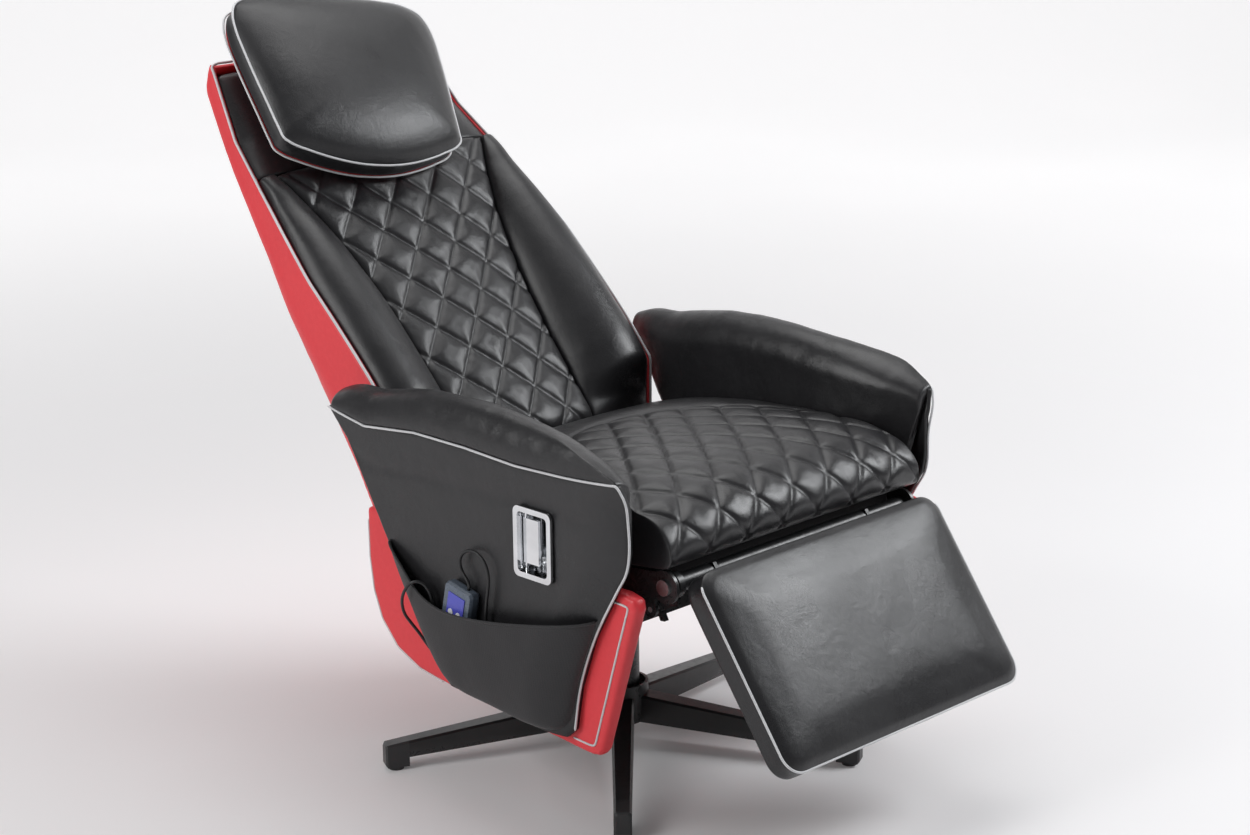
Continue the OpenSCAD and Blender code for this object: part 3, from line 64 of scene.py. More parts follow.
def part_way(value, start, end):
    return np.clip((value - start) / (end - start), 0.0, 1.0)


def to_row(points):
    """Points of the swivel's frame in millimetres, in the row frame in metres."""
    return (np.asarray(points, float) + [0.0, SWIVEL_Y, 0.0]) * MM


def tilted(points, origin, angle):
    """Points turned about X and moved, from a part's own frame to the swivel's."""
    p = np.asarray(points, float)
    c, s = math.cos(math.radians(angle)), math.sin(math.radians(angle))
    y, z = p[..., 1], p[..., 2]
    return np.stack([p[..., 0], origin[0] + y * c - z * s, origin[1] + y * s + z * c], -1)


def on_seat(points):
    return to_row(tilted(points, SEAT_ORIGIN, SEAT_TILT))


def on_back(points):
    """From x, depth towards the front and height along the back."""
    p = np.asarray(points, float) * [1.0, -1.0, 1.0]
    return to_row(tilted(p, BACK_ORIGIN, BACK_TILT))


def on_foot(points):
    return to_row(tilted(points, FOOT_ORIGIN, FOOT_TILT))


def from_row(points, origin, angle):
    """Back from the row frame to a part's own frame, in millimetres."""
    p = np.asarray(points, float) / MM - [0.0, SWIVEL_Y, 0.0]
    c, s = math.cos(math.radians(angle)), math.sin(math.radians(angle))
    y, z = p[..., 1] - origin[0], p[..., 2] - origin[1]
    return np.stack([p[..., 0], y * c + z * s, -y * s + z * c], -1)


def through(knots, values, at):
    """A smooth curve through values at knots, read at other places."""
    k, v, x = np.asarray(knots, float), np.asarray(values, float), np.asarray(at, float)
    flat = v.ndim == 1
    if flat:
        v = v[:, None]
    h = np.diff(k)
    d = np.diff(v, axis=0) / h[:, None]
    m = np.vstack([d[:1], (d[:-1] * h[1:, None] + d[1:] * h[:-1, None]) / (h[1:] + h[:-1])[:, None], d[-1:]])
    i = np.clip(np.searchsorted(k, x, side="right") - 1, 0, len(h) - 1)
    t = ((x - k[i]) / h[i])[:, None]
    w = h[i][:, None]
    out = ((1 + 2 * t) * (1 - t) ** 2 * v[i] + t * (1 - t) ** 2 * w * m[i]
           + t * t * (3 - 2 * t) * v[i + 1] + t * t * (t - 1) * w * m[i + 1])
    return out[:, 0] if flat else out


def straight(table, at):
    """A line through a table of places and values, read at other places."""
    t = np.asarray(table, float)
    return np.interp(at, t[:, 0], t[:, 1])


def arc_of(points):
    p = np.asarray(points, float)
    return np.concatenate([[0.0], np.cumsum(np.linalg.norm(np.diff(p, axis=0), axis=1))])


def resampled(points, step, closed=False, smooth=True):
    """Points at even steps along a line through the given ones."""
    p = np.asarray(points, float)
    if closed:
        p = np.vstack([p[-3:], p, p[:4]])
        a = arc_of(p)
        start, end = a[3], a[-4]
        count = max(8, round((end - start) / step))
        at = np.linspace(start, end, count, endpoint=False)
    else:
        a = arc_of(p)
        count = max(2, round(a[-1] / step) + 1)
        at = np.linspace(0.0, a[-1], count)
    if smooth:
        return through(a, p, at)
    return np.stack([np.interp(at, a, p[:, c]) for c in range(p.shape[1])], -1)


def ripple(points, size, seed=0.0):
    """Smooth noise between about -1 and 1 at each point, for a wave size in metres."""
    shift = Vector((seed * 3.1, seed * 1.7 + 5.0, seed * 2.3))
    return np.array([noise.noise(Vector(p) / size + shift) for p in points])


# Camera, fitted to the photograph
CAMERA_LENS = 83.59
CAMERA_PLACE = (-2.7745, -2.8599, 1.6470)
CAMERA_RIGHT = (0.70664, -0.70751, -0.00970)
CAMERA_UP = (0.20642, 0.19301, 0.95924)
CAMERA_BACK = (-0.67679, -0.67984, 0.28243)


def make_camera():
    data = bpy.data.cameras.new("camera")
    data.lens = CAMERA_LENS
    data.sensor_width = 36.0
    obj = bpy.data.objects.new("camera", data)
    scene.collection.objects.link(obj)
    turn = Matrix((CAMERA_RIGHT, CAMERA_UP, CAMERA_BACK)).transposed().to_4x4()
    obj.matrix_world = Matrix.Translation(CAMERA_PLACE) @ turn
    scene.camera = obj


make_camera()


# Materials: every one is made of nodes on object coordinates, in metres
class Maker:
    """Adds nodes to one material."""

    def __init__(self, name):
        self.material = bpy.data.materials.new(name)
        self.material.use_nodes = True
        self.tree = self.material.node_tree
        self.tree.nodes.clear()
        self.output = self.tree.nodes.new("ShaderNodeOutputMaterial")
        self.shader = self.tree.nodes.new("ShaderNodeBsdfPrincipled")
        self.tree.links.new(self.shader.outputs[0], self.output.inputs[0])
        self.place = self.tree.nodes.new("ShaderNodeTexCoord").outputs["Object"]

    def link(self, value, socket):
        if isinstance(value, bpy.types.NodeSocket):
            self.tree.links.new(value, socket)
        else:
            socket.default_value = value

    def add(self, kind, inputs=(), **settings):
        node = self.tree.nodes.new(kind)
        for key, value in settings.items():
            setattr(node, key, value)
        for key, value in dict(inputs).items():
            self.link(value, node.inputs[key])
        return node

    def noise(self, scale, detail=2.0, rough=0.5, place=None, distortion=0.0):
        return self.add("ShaderNodeTexNoise", {
            "Vector": place or self.place, "Scale": scale, "Detail": detail, "Roughness": rough,
            "Distortion": distortion}).outputs["Fac"]

    def math(self, kind, a, b=0.0, clamp=False):
        return self.add("ShaderNodeMath", {0: a, 1: b}, operation=kind, use_clamp=clamp).outputs[0]

    def spread(self, value, low, high, out_low=0.0, out_high=1.0):
        return self.add("ShaderNodeMapRange", {
            "Value": value, "From Min": low, "From Max": high, "To Min": out_low, "To Max": out_high},
            interpolation_type="SMOOTHSTEP").outputs[0]

    def blend(self, share, a, b):
        node = self.add("ShaderNodeMix", data_type="RGBA")
        self.link(share, node.inputs[0])
        self.link(a, node.inputs[6])
        self.link(b, node.inputs[7])
        return node.outputs[2]

    def bump(self, height, strength, distance, under=None):
        node = self.add("ShaderNodeBump", {"Height": height, "Strength": strength, "Distance": distance})
        if under is not None:
            self.link(under, node.inputs["Normal"])
        return node.outputs[0]

    def worn(self, low=0.52, high=0.6):
        """How far a point lies on an outer edge."""
        edge = self.add("ShaderNodeNewGeometry").outputs["Pointiness"]
        return self.spread(edge, low, high)

    def finish(self, color, rough, normal=None, **plain):
        self.link(color, self.shader.inputs["Base Color"])
        self.link(rough, self.shader.inputs["Roughness"])
        if normal is not None:
            self.link(normal, self.shader.inputs["Normal"])
        for key, value in plain.items():
            self.shader.inputs[key.replace("_", " ")].default_value = value
        return self.material


def rgb(r, g, b):
    return (r, g, b, 1.0)


def lifted(color, times, more):
    """A lighter tone of a colour, for rubbed edges."""
    return rgb(*[min(1.0, c * times + more) for c in color[:3]])


def leather(name, color, second, rough, grain=1.1, depth=1.0, gloss=0.5):
    """Grained leather: fine cells, pores, soft large creases and a little polish where it is rubbed."""
    m = Maker(name)
    bent = m.add("ShaderNodeVectorMath", {0: m.place, 1: m.add(
        "ShaderNodeVectorMath", {0: m.add("ShaderNodeTexNoise", {
            "Vector": m.place, "Scale": 900.0, "Detail": 1.0}).outputs["Color"], 3: 0.0006},
        operation="SCALE").outputs[0]}, operation="ADD").outputs[0]
    cells = m.add("ShaderNodeTexVoronoi", {"Vector": bent, "Scale": 1000.0 / grain},
                  feature="DISTANCE_TO_EDGE").outputs["Distance"]
    cell = m.spread(cells, 0.0, 0.3)
    pores = m.noise(2600.0, 2.0)
    folds = m.noise(48.0, 5.0, 0.62, distortion=0.6)
    patch = m.noise(7.0, 3.0)
    flecks = m.noise(130.0, 2.0)
    grain_height = m.math("ADD", m.math("MULTIPLY", cell, 0.75), m.math("MULTIPLY", pores, 0.25))
    soft = m.bump(folds, 0.22 * depth, 0.0025)
    normal = m.bump(grain_height, 0.28 * depth, 0.00022, soft)
    tone = m.math("ADD", m.spread(patch, 0.3, 0.7, 0.0, 0.65), m.spread(flecks, 0.35, 0.7, 0.0, 0.35))
    base = m.blend(tone, color, second)
    worn = m.worn()
    lighter = m.blend(m.math("MULTIPLY", worn, 0.16), base, lifted(color, 1.5, 0.02))
    roughness = m.math("SUBTRACT", m.math("ADD", m.math("MULTIPLY", cell, -0.06), m.spread(
        patch, 0.3, 0.7, rough - 0.03, rough + 0.06)), m.math("MULTIPLY", worn, 0.05))
    return m.finish(lighter, roughness, normal, Specular_IOR_Level=gloss)


def woven(name, color, second, pitch):
    """Plain weave: two sets of fine ribs across each other."""
    m = Maker(name)
    ribs = []
    for way in ("Y", "Z"):
        ribs.append(m.add("ShaderNodeTexWave", {
            "Vector": m.place, "Scale": 1.0 / (pitch * MM * 20.0), "Distortion": 0.6, "Detail": 1.0,
            "Detail Scale": 2.0}, bands_direction=way).outputs["Fac"])
    weave = m.math("MAXIMUM", ribs[0], m.math("MULTIPLY", ribs[1], 0.9))
    patch = m.noise(9.0, 3.0)
    fuzz = m.noise(1500.0, 2.0)
    soft = m.bump(m.noise(35.0, 4.0), 0.25, 0.003)
    normal = m.bump(m.math("ADD", weave, m.math("MULTIPLY", fuzz, 0.4)), 0.35, 0.0003, soft)
    tone = m.math("ADD", m.math("MULTIPLY", weave, 0.5), m.spread(patch, 0.3, 0.7, 0.0, 0.5))
    return m.finish(m.blend(tone, color, second), m.spread(patch, 0.3, 0.7, 0.62, 0.75), normal,
                    Sheen_Weight=0.15, Specular_IOR_Level=0.4)


def painted(name, color, second, rough, spots=420.0, depth=0.25):
    """Powder coat or moulded plastic: a fine orange skin, dust and rubbed edges."""
    m = Maker(name)
    skin = m.noise(spots, 3.0)
    patch = m.noise(11.0, 4.0)
    marks = m.noise(60.0, 6.0, 0.7, distortion=1.2)
    worn = m.worn()
    base = m.blend(m.spread(patch, 0.35, 0.7), color, second)
    edge = m.blend(m.math("MULTIPLY", worn, 0.35), base, lifted(color, 2.2, 0.03))
    roughness = m.math("ADD", m.spread(marks, 0.4, 0.75, rough - 0.04, rough + 0.1), m.math(
        "MULTIPLY", worn, -0.08))
    return m.finish(edge, roughness, m.bump(skin, depth, 0.0002), Specular_IOR_Level=0.5)


def metal(name, color, rough, streak=0.0):
    """Bare or plated metal with faint rubbing marks."""
    m = Maker(name)
    fine = m.noise(260.0, 5.0, 0.65)
    patch = m.noise(24.0, 3.0)
    base = m.blend(m.spread(patch, 0.3, 0.7), color, rgb(*[c * 0.86 for c in color[:3]]))
    roughness = m.math("ADD", m.spread(patch, 0.35, 0.7, rough, rough + 0.05), m.math(
        "MULTIPLY", fine, 0.05 + streak))
    return m.finish(base, roughness, m.bump(fine, 0.06 + streak, 0.0001), Metallic=1.0)


def wood(name, pale, dark):
    """Plywood: stretched grain with darker plies."""
    m = Maker(name)
    drawn = m.add("ShaderNodeMapping", {"Vector": m.place, "Scale": (14.0, 1.4, 14.0)}).outputs[0]
    rings = m.add("ShaderNodeTexWave", {
        "Vector": drawn, "Scale": 2.2, "Distortion": 5.0, "Detail": 3.0}).outputs["Fac"]
    fibres = m.noise(40.0, 4.0, 0.6, place=drawn)
    tone = m.math("ADD", m.math("MULTIPLY", rings, 0.6), m.math("MULTIPLY", fibres, 0.4))
    normal = m.bump(m.math("ADD", fibres, m.math("MULTIPLY", rings, 0.4)), 0.2, 0.0004)
    return m.finish(m.blend(tone, pale, dark), m.spread(fibres, 0.3, 0.7, 0.55, 0.72), normal)


BLACK = rgb(0.0150, 0.0146, 0.0160)
BLACK_WORN = rgb(0.0205, 0.0200, 0.0218)
MATERIALS = {
    "black_leather": leather("black_leather", BLACK, BLACK_WORN, 0.34),
    "red_leather": leather("red_leather", rgb(0.76, 0.040, 0.052), rgb(0.82, 0.052, 0.064), 0.46),
    "white_piping": leather("white_piping", rgb(0.70, 0.70, 0.71), rgb(0.60, 0.60, 0.62), 0.4, grain=0.5,
                            depth=0.6),
    "pocket_cloth": woven("pocket_cloth", rgb(0.016, 0.0155, 0.017), rgb(0.030, 0.029, 0.031), 0.55),
    "black_steel": painted("black_steel", rgb(0.0105, 0.0105, 0.011), rgb(0.017, 0.017, 0.018), 0.38),
    "black_plastic": painted("black_plastic", rgb(0.013, 0.013, 0.014), rgb(0.022, 0.022, 0.023), 0.5, 700.0,
                             0.35),
    "zinc": metal("zinc", rgb(0.55, 0.55, 0.56), 0.3, 0.08),
    "chrome": metal("chrome", rgb(0.82, 0.83, 0.85), 0.07),
    "plywood": wood("plywood", rgb(0.50, 0.34, 0.18), rgb(0.30, 0.18, 0.08)),
    "bush_plastic": painted("bush_plastic", rgb(0.52, 0.52, 0.49), rgb(0.60, 0.60, 0.56), 0.45),
    "motor_plastic": painted("motor_plastic", rgb(0.22, 0.22, 0.22), rgb(0.28, 0.28, 0.27), 0.5),
    "handset_grey": painted("handset_grey", rgb(0.075, 0.095, 0.125), rgb(0.10, 0.12, 0.15), 0.36, 520.0,
                            0.2),
    "keypad_blue": painted("keypad_blue", rgb(0.055, 0.06, 0.36), rgb(0.08, 0.085, 0.42), 0.3, 300.0, 0.1),
    "button_pale": painted("button_pale", rgb(0.70, 0.73, 0.80), rgb(0.60, 0.63, 0.72), 0.33, 300.0, 0.1),
    "cord_black": painted("cord_black", rgb(0.010, 0.010, 0.011), rgb(0.018, 0.018, 0.019), 0.5, 900.0, 0.4),
}

for part in frame["record"]["subparts"]:
    cad = frame["nodes"][part["node"]]
    cad.data.materials.clear()
    cad.data.materials.append(MATERIALS[part["material_slot"]])


# The seat box, the platform and the boards behind the pads are covered with the pocket's black cloth
for covered in ("seat_box", "seat_platform", "foot_board", "back_board"):
    frame["nodes"][covered].data.materials[0] = MATERIALS["pocket_cloth"]


# Making pieces
def piece(name, verts, faces, slot, body, replaces=(), outward=True):
    """A piece of the model from points in the row frame."""
    mesh = bpy.data.meshes.new(name)
    mesh.from_pydata(np.asarray(verts).tolist(), [], faces)
    bm = bmesh.new()
    bm.from_mesh(mesh)
    bmesh.ops.remove_doubles(bm, verts=bm.verts, dist=0.00002)
    bmesh.ops.dissolve_degenerate(bm, edges=bm.edges, dist=0.00002)
    if outward:
        bmesh.ops.recalc_face_normals(bm, faces=bm.faces)
    bm.to_mesh(mesh)
    bm.free()
    mesh.polygons.foreach_set("use_smooth", [True] * len(mesh.polygons))
    mesh.update()
    obj = bpy.data.objects.new(name, mesh)
    scene.collection.objects.link(obj)
    mesh.materials.append(MATERIALS[slot])
    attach(obj, body)
    if replaces:
        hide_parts(*replaces)
    return obj


def ring_faces(rings, cols, start="fan", end="fan"):
    """Faces of a closed form made of rings, each a closed loop, with its two ends closed."""
    faces = []
    for r in range(rings - 1):
        for c in range(cols):
            d = (c + 1) % cols
            faces.append((r * cols + c, r * cols + d, (r + 1) * cols + d, (r + 1) * cols + c))
    last = (rings - 1) * cols
    if start == "face":
        faces.append(tuple(range(cols)))
    if end == "face":
        faces.append(tuple(range(last, last + cols)))
    return faces


def closed_form(name, rings, slot, body, replaces=(), start=(0.8, 0.45), end=(0.8, 0.45), bulge=(0.0, 0.0)):
    """A closed form from rings in the row frame. Each end shrinks to its middle, or is one flat face."""
    rings = [np.asarray(r) for r in rings]
    cols = len(rings[0])
    head, tail = [], []
    for shares, ring, inner, out, swell in (
            (start, rings[0], rings[1], head, bulge[0]), (end, rings[-1], rings[-2], tail, bulge[1])):
        if shares is None:
            continue
        middle = ring.mean(0)
        away = ring.mean(0) - inner.mean(0)
        away = away / max(np.linalg.norm(away), 1e-9)
        for share in shares:
            out.append(middle + (ring - middle) * share + away * swell * MM * math.sqrt(1 - share * share))
        out.append(np.repeat((middle + away * swell * MM)[None], cols, 0))
    stack = head[::-1] + rings + tail
    kinds = ["face" if s is None else "point" for s in (start, end)]
    return piece(name, np.vstack(stack), ring_faces(len(stack), cols, *kinds), slot, body, replaces)


def tube(name, path, width, slot, body, closed=False, step=3.0, sides=10, taper=True):
    """A round cord or piping along a line in the row frame, in metres. Its ends are rounded."""
    p = resampled(np.asarray(path) / MM, step, closed) * MM
    count = len(p)
    if closed:
        along = np.roll(p, -1, 0) - np.roll(p, 1, 0)
    else:
        along = np.gradient(p, axis=0)
    along /= np.linalg.norm(along, axis=1)[:, None]
    side = np.cross(along[0], [0.0, 0.0, 1.0])
    if np.linalg.norm(side) < 0.1:
        side = np.cross(along[0], [0.0, 1.0, 0.0])
    sides_list = []
    for t in along:
        side = side - t * (side @ t)
        side = side / np.linalg.norm(side)
        sides_list.append(side)
    a = np.array(sides_list)
    b = np.cross(along, a)
    q = np.linspace(0, 2 * math.pi, sides, endpoint=False)
    rings = []
    for i in range(count):
        grow = 1.0
        if not closed and taper and i in (0, count - 1):
            grow = 0.55
        rings.append(p[i] + width / 2 * MM * grow * (
            np.outer(np.cos(q), a[i]) + np.outer(np.sin(q), b[i])))
    verts = np.vstack(rings)
    faces = ring_faces(count, sides)
    if closed:
        # The carried frame turns a little round a closed loop, so the last ring joins at its nearest step
        gaps = [np.linalg.norm(rings[-1] - np.roll(rings[0], -s, 0), axis=1).sum() for s in range(sides)]
        s = int(np.argmin(gaps))
        last = (count - 1) * sides
        for c in range(sides):
            d = (c + 1) % sides
            faces.append((last + c, last + d, (d + s) % sides, (c + s) % sides))
    else:
        faces.append(tuple(range(sides)))
        faces.append(tuple(range((count - 1) * sides, count * sides)))
    return piece(name, verts, faces, slot, body)


# Cloth: each cover is blown up from its own cut shape, held at its seams and where it rests
stuffings = []


def points_of(obj):
    co = np.zeros(len(obj.data.vertices) * 3)
    obj.data.vertices.foreach_get("co", co)
    return co.reshape(-1, 3)


def move_to(obj, points):
    obj.data.vertices.foreach_set("co", np.asarray(points).ravel())
    obj.data.update()


def normals_of(obj):
    n = np.zeros(len(obj.data.vertices) * 3)
    obj.data.vertices.foreach_get("normal", n)
    return n.reshape(-1, 3)


def stuff(obj, held, cap, finish=None, slack=0.0, calm=0):
    """Puts a piece on the list for the cloth simulation. held is true where it is sewn or rests."""
    stuffings.append({"obj": obj, "held": held, "cap": cap, "finish": finish, "slack": slack, "calm": calm})


def evened(obj, held, move, times):
    """The moves of a cover's points, each averaged with its neighbours' so many times."""
    ends = np.zeros(len(obj.data.edges) * 2, int)
    obj.data.edges.foreach_get("vertices", ends)
    a, b = ends.reshape(-1, 2).T
    count = np.bincount(a, minlength=len(move)) + np.bincount(b, minlength=len(move))
    for _ in range(times):
        total = np.zeros_like(move)
        np.add.at(total, a, move[b])
        np.add.at(total, b, move[a])
        move = 0.5 * move + 0.5 * total / np.maximum(count, 1)[:, None]
        move[held] = 0.0
    return move


def run_cloth():
    """Simulates all the covers side by side, limits how far a point moves, and keeps the result."""
    for job in stuffings:
        obj = job["obj"]
        group = obj.vertex_groups.new(name="held")
        group.add([int(i) for i in np.flatnonzero(job["held"])], 1.0, "REPLACE")
        cloth = obj.modifiers.new("cloth", "CLOTH")
        cloth.settings.quality = 5
        cloth.settings.mass = 0.3
        cloth.settings.tension_stiffness = 20.0
        cloth.settings.compression_stiffness = 20.0
        cloth.settings.shear_stiffness = 8.0
        cloth.settings.bending_stiffness = 1.2
        cloth.settings.vertex_group_mass = "held"
        cloth.settings.use_pressure = True
        cloth.settings.uniform_pressure_force = 4.0
        cloth.settings.effector_weights.gravity = 0.0
        cloth.settings.shrink_min = -job["slack"]
        cloth.collision_settings.use_collision = False
    for step in range(1, 21):
        scene.frame_set(step)
    graph = bpy.context.evaluated_depsgraph_get()
    for job in stuffings:
        obj = job["obj"]
        blown = obj.evaluated_get(graph).to_mesh()
        co = np.zeros(len(blown.vertices) * 3)
        blown.vertices.foreach_get("co", co)
        job["blown"] = co.reshape(-1, 3)
        obj.evaluated_get(graph).to_mesh_clear()
    for job in stuffings:
        obj = job["obj"]
        obj.modifiers.clear()
        obj.vertex_groups.clear()
        rest = points_of(obj)
        move = np.nan_to_num(job["blown"] - rest)
        far = np.linalg.norm(move, axis=1)[:, None]
        limit = job["cap"] * MM
        move = move * (limit * np.tanh(far / limit) / np.maximum(far, 1e-9))
        move_to(obj, rest + evened(obj, job["held"], move, job["calm"]))
    scene.frame_set(1)
    for job in stuffings:
        obj = job["obj"]
        finer = obj.modifiers.new("finer", "SUBSURF")
        finer.levels = 1
        finer.render_levels = 1
    graph = bpy.context.evaluated_depsgraph_get()
    for job in stuffings:
        obj = job["obj"]
        dense = bpy.data.meshes.new_from_object(obj.evaluated_get(graph))
        obj.modifiers.clear()
        old = obj.data
        obj.data = dense
        bpy.data.meshes.remove(old)
        dense.name = obj.name
        if job["finish"]:
            job["finish"](obj)


def pushed(obj, amount):
    """Moves each point along its normal by so many millimetres."""
    move_to(obj, points_of(obj) + normals_of(obj) * np.asarray(amount)[:, None] * MM)


def groove(distance, width, depth):
    return -depth * np.exp(-(distance / width) ** 2)


def dome(distance, reach, power):
    return (1 - (1 - np.clip(distance / reach, 0.0, 1.0)) ** 2) ** power


def creased(obj, amount=0.35, size=0.03, seed=0.0):
    """Small soft unevenness of a sewn cover."""
    p = points_of(obj)
    pushed(obj, amount * (ripple(p, size, seed) + 0.5 * ripple(p, size * 0.4, seed + 4.0)))


# Seat cushion
SEAT_HALF = 250.0
SEAT_REAR = 154.0
SEAT_FRONT = -348.0
SEAT_SIDE = 95.0
SEAT_CROWN = 20.0
SEAT_SEWN = 5.2
# The seat's side view from its rear foot over the top, as shares of its length and height
SEAT_PROFILE = [
    (0.004, 0), (-0.006, 0.2), (-0.002, 0.52), (0.03, 0.76), (0.10, 0.87), (0.19, 0.935), (0.31, 0.985),
    (0.43, 1), (0.55, 0.985), (0.66, 0.96), (0.75, 0.92), (0.84, 0.85), (0.915, 0.73), (0.97, 0.54),
    (0.998, 0.29), (0.994, 0.09), (0.974, 0)]
SEAT_STEP = 6.0
# Half the width and length of a sewn diamond, and the row of the profile at which the front ones cross
DIAMOND_HALF_W = 35.2
DIAMOND_HALF_L = 44.0
FORK_ROW = 12.9

seat_knots = np.array([(mix(SEAT_REAR, SEAT_FRONT, a), b * SEAT_SIDE) for a, b in SEAT_PROFILE])
seat_arc = arc_of(seat_knots)
seat_length = seat_arc[-1]
seat_count = round(seat_length / SEAT_STEP) + 1
seat_at = np.linspace(0.0, seat_length, seat_count)
seat_line = through(seat_arc, seat_knots, seat_at)
seat_slope = np.gradient(seat_line, axis=0)
seat_slope /= np.linalg.norm(seat_slope, axis=1)[:, None]
seat_out = np.stack([-seat_slope[:, 1], seat_slope[:, 0]], -1)
if seat_out[seat_count // 2, 1] < 0:
    seat_out = -seat_out
seat_index = np.interp(seat_at, seat_arc, np.arange(len(seat_arc)))
seat_swell = np.sin(math.pi * np.clip((seat_index - 1) / 14, 0, 1))


def seat_row_at(row):
    return float(np.interp(row, np.arange(len(seat_arc)), seat_arc))


def seat_border(x):
    """Where the quilting ends behind, on an arc across the seat."""
    return mix(seat_row_at(5.6), seat_row_at(9.0), np.abs(x / SEAT_HALF) ** 2)


def seat_seam(x, place):
    """Distance from the nearest sewn line: slanting lines both ways, and the arc behind them."""
    u, v = x / DIAMOND_HALF_W, (place - seat_row_at(FORK_ROW)) / DIAMOND_HALF_L
    a = np.abs(u + v - 2 * np.round((u + v) / 2))
    b = np.abs(u - v - 2 * np.round((u - v) / 2))
    near = np.minimum(a, b) / math.hypot(1 / DIAMOND_HALF_W, 1 / DIAMOND_HALF_L)
    behind = seat_border(x) - place
    return np.where(behind > 0, behind, np.minimum(near, -behind))


def seat_point(x, place, lift):
    """A point of the seat over its profile, in the seat's frame."""
    y = np.interp(place, seat_at, seat_line[:, 0])
    z = np.interp(place, seat_at, seat_line[:, 1])
    ny = np.interp(place, seat_at, seat_out[:, 0])
    nz = np.interp(place, seat_at, seat_out[:, 1])
    return np.stack([x, y + ny * lift, z + nz * lift], -1)


def seat_place(local):
    """The way over the profile at which each point of the seat's frame lies."""
    best = np.full(len(local), 1e9)
    place = np.zeros(len(local))
    for k in range(seat_count - 1):
        a, b = seat_line[k], seat_line[k + 1]
        d = b - a
        t = np.clip(((local[:, 1:] - a) @ d) / (d @ d), 0.0, 1.0)
        far = np.linalg.norm(local[:, 1:] - a - t[:, None] * d, axis=1)
        near = far < best
        best[near] = far[near]
        place[near] = (seat_at[k] + t * (seat_at[k + 1] - seat_at[k]))[near]
    return place


def seat_lift(x, place):
    swell = np.interp(place, seat_at, seat_swell)
    crown = 1 - np.abs(x / (SEAT_HALF - 2)) ** 3
    puff = mix(0.75, 1.5, part_way(place, seat_row_at(9.6), seat_row_at(12.6)))
    return swell * (crown * SEAT_CROWN - puff * SEAT_SEWN * (1 - dome(seat_seam(x, place), 22.0, 0.6)))


def make_seat():
    xs = np.linspace(-SEAT_HALF + 2.3, SEAT_HALF - 2.3, 84)
    floor_y = np.linspace(seat_line[-1, 0], seat_line[0, 0], 14)[1:-1]
    rings = []
    for x in xs:
        lift = seat_lift(np.full(seat_count, x), seat_at)
        over = seat_point(np.full(seat_count, x), seat_at, lift)
        under = np.stack([np.full(12, x), floor_y, np.zeros(12)], -1)
        rings.append(np.vstack([over, under]) + [0, 0, 0.3])
    for side in (-1, 1):
        for out, inset in ((SEAT_HALF - 0.8, 3.0), (SEAT_HALF, 8.0)):
            over = seat_point(np.full(seat_count, side * out), seat_at, -inset * seat_swell)
            under = np.stack([np.full(12, side * out), floor_y, np.zeros(12)], -1)
            ring = np.vstack([over, under]) + [0, 0, 0.3]
            if side < 0:
                rings.insert(0, ring)
            else:
                rings.append(ring)
    obj = closed_form("seat_cover", [on_seat(r) for r in rings], "black_leather", "seat", ["seat_cushion"],
                      start=(0.93, 0.8, 0.6, 0.4, 0.2), end=(0.93, 0.8, 0.6, 0.4, 0.2), bulge=(2.0, 2.0))
    local = from_row(points_of(obj), SEAT_ORIGIN, SEAT_TILT)
    place = seat_place(local)
    held = (local[:, 2] < 3.0) | (seat_seam(local[:, 0], place) < 3.6) | (np.abs(local[:, 0]) > 244)

    def finish(cover):
        p = points_of(cover)
        q = from_row(p, SEAT_ORIGIN, SEAT_TILT)
        way = seat_place(q)
        near = seat_seam(q[:, 0], way)
        top = (q[:, 2] > 8.0) & (np.abs(q[:, 0]) < 248.5)
        gather = 0.3 * ripple(p, 0.011, 2.0) * np.exp(-((near - 5.0) / 7.0) ** 2)
        amount = groove(near, 2.6, 2.4) + gather
        pushed(cover, np.where(top, amount, 0.0))
        creased(cover, 0.4, 0.035, 3.0)

    stuff(obj, held, 2.5, finish, slack=0.01, calm=2)


# Back: half widths and depths along its height
BACK_L = 705.0


def back_half(s):
    return 254.0 - 57.0 * part_way(s, 310.0, BACK_L) ** 1.2


def quilt_half(s):
    return mix(248.0, 408.0, np.clip(s / 499.0, 0, 1) ** 3) / 2


def seam_depth(s):
    s = np.asarray(s, float)
    low = 66.0 * part_way(s, -15.0, 60.0)
    middle = mix(66.0, 8.0, part_way(s, 130.0, 575.0) ** 1.3)
    high = mix(8.0, 17.0, part_way(s, 575.0, BACK_L))
    return np.where(s < 60.0, low, np.where(s < 575.0, middle, high))


def rear_depth(s):
    return 8.0 * part_way(s, 540.0, BACK_L) ** 1.2 - mix(30.0, 76.0, np.clip(1 - s / 400.0, 0, 1) ** 1.2)


# The shell's section, as shares of its half width from the edge and of its depth from the rear
SHELL_CORNERS = [
    (0, 1), (0, 0.45), (0, 0.22), (0.03, 0.07), (0.09, 0), (0.4, -0.02), (0.75, -0.03), (1, -0.03)]
SHELL_T = 5.0


def shell_half(s, inset):
    w = back_half(s) - inset
    front = float(seam_depth(s))
    roof = s > BACK_L * 0.99
    close = float(part_way(s, BACK_L * 0.955, BACK_L)) ** 2
    rear = mix(rear_depth(s), front - SHELL_T, close) + (0 if roof else inset)
    pts = np.array([(w * (1 - a), mix(rear, front, b), s - (inset if roof else 0)) for a, b in SHELL_CORNERS])
    both = np.vstack([pts, (pts * [-1, 1, 1])[-2::-1]])
    return both


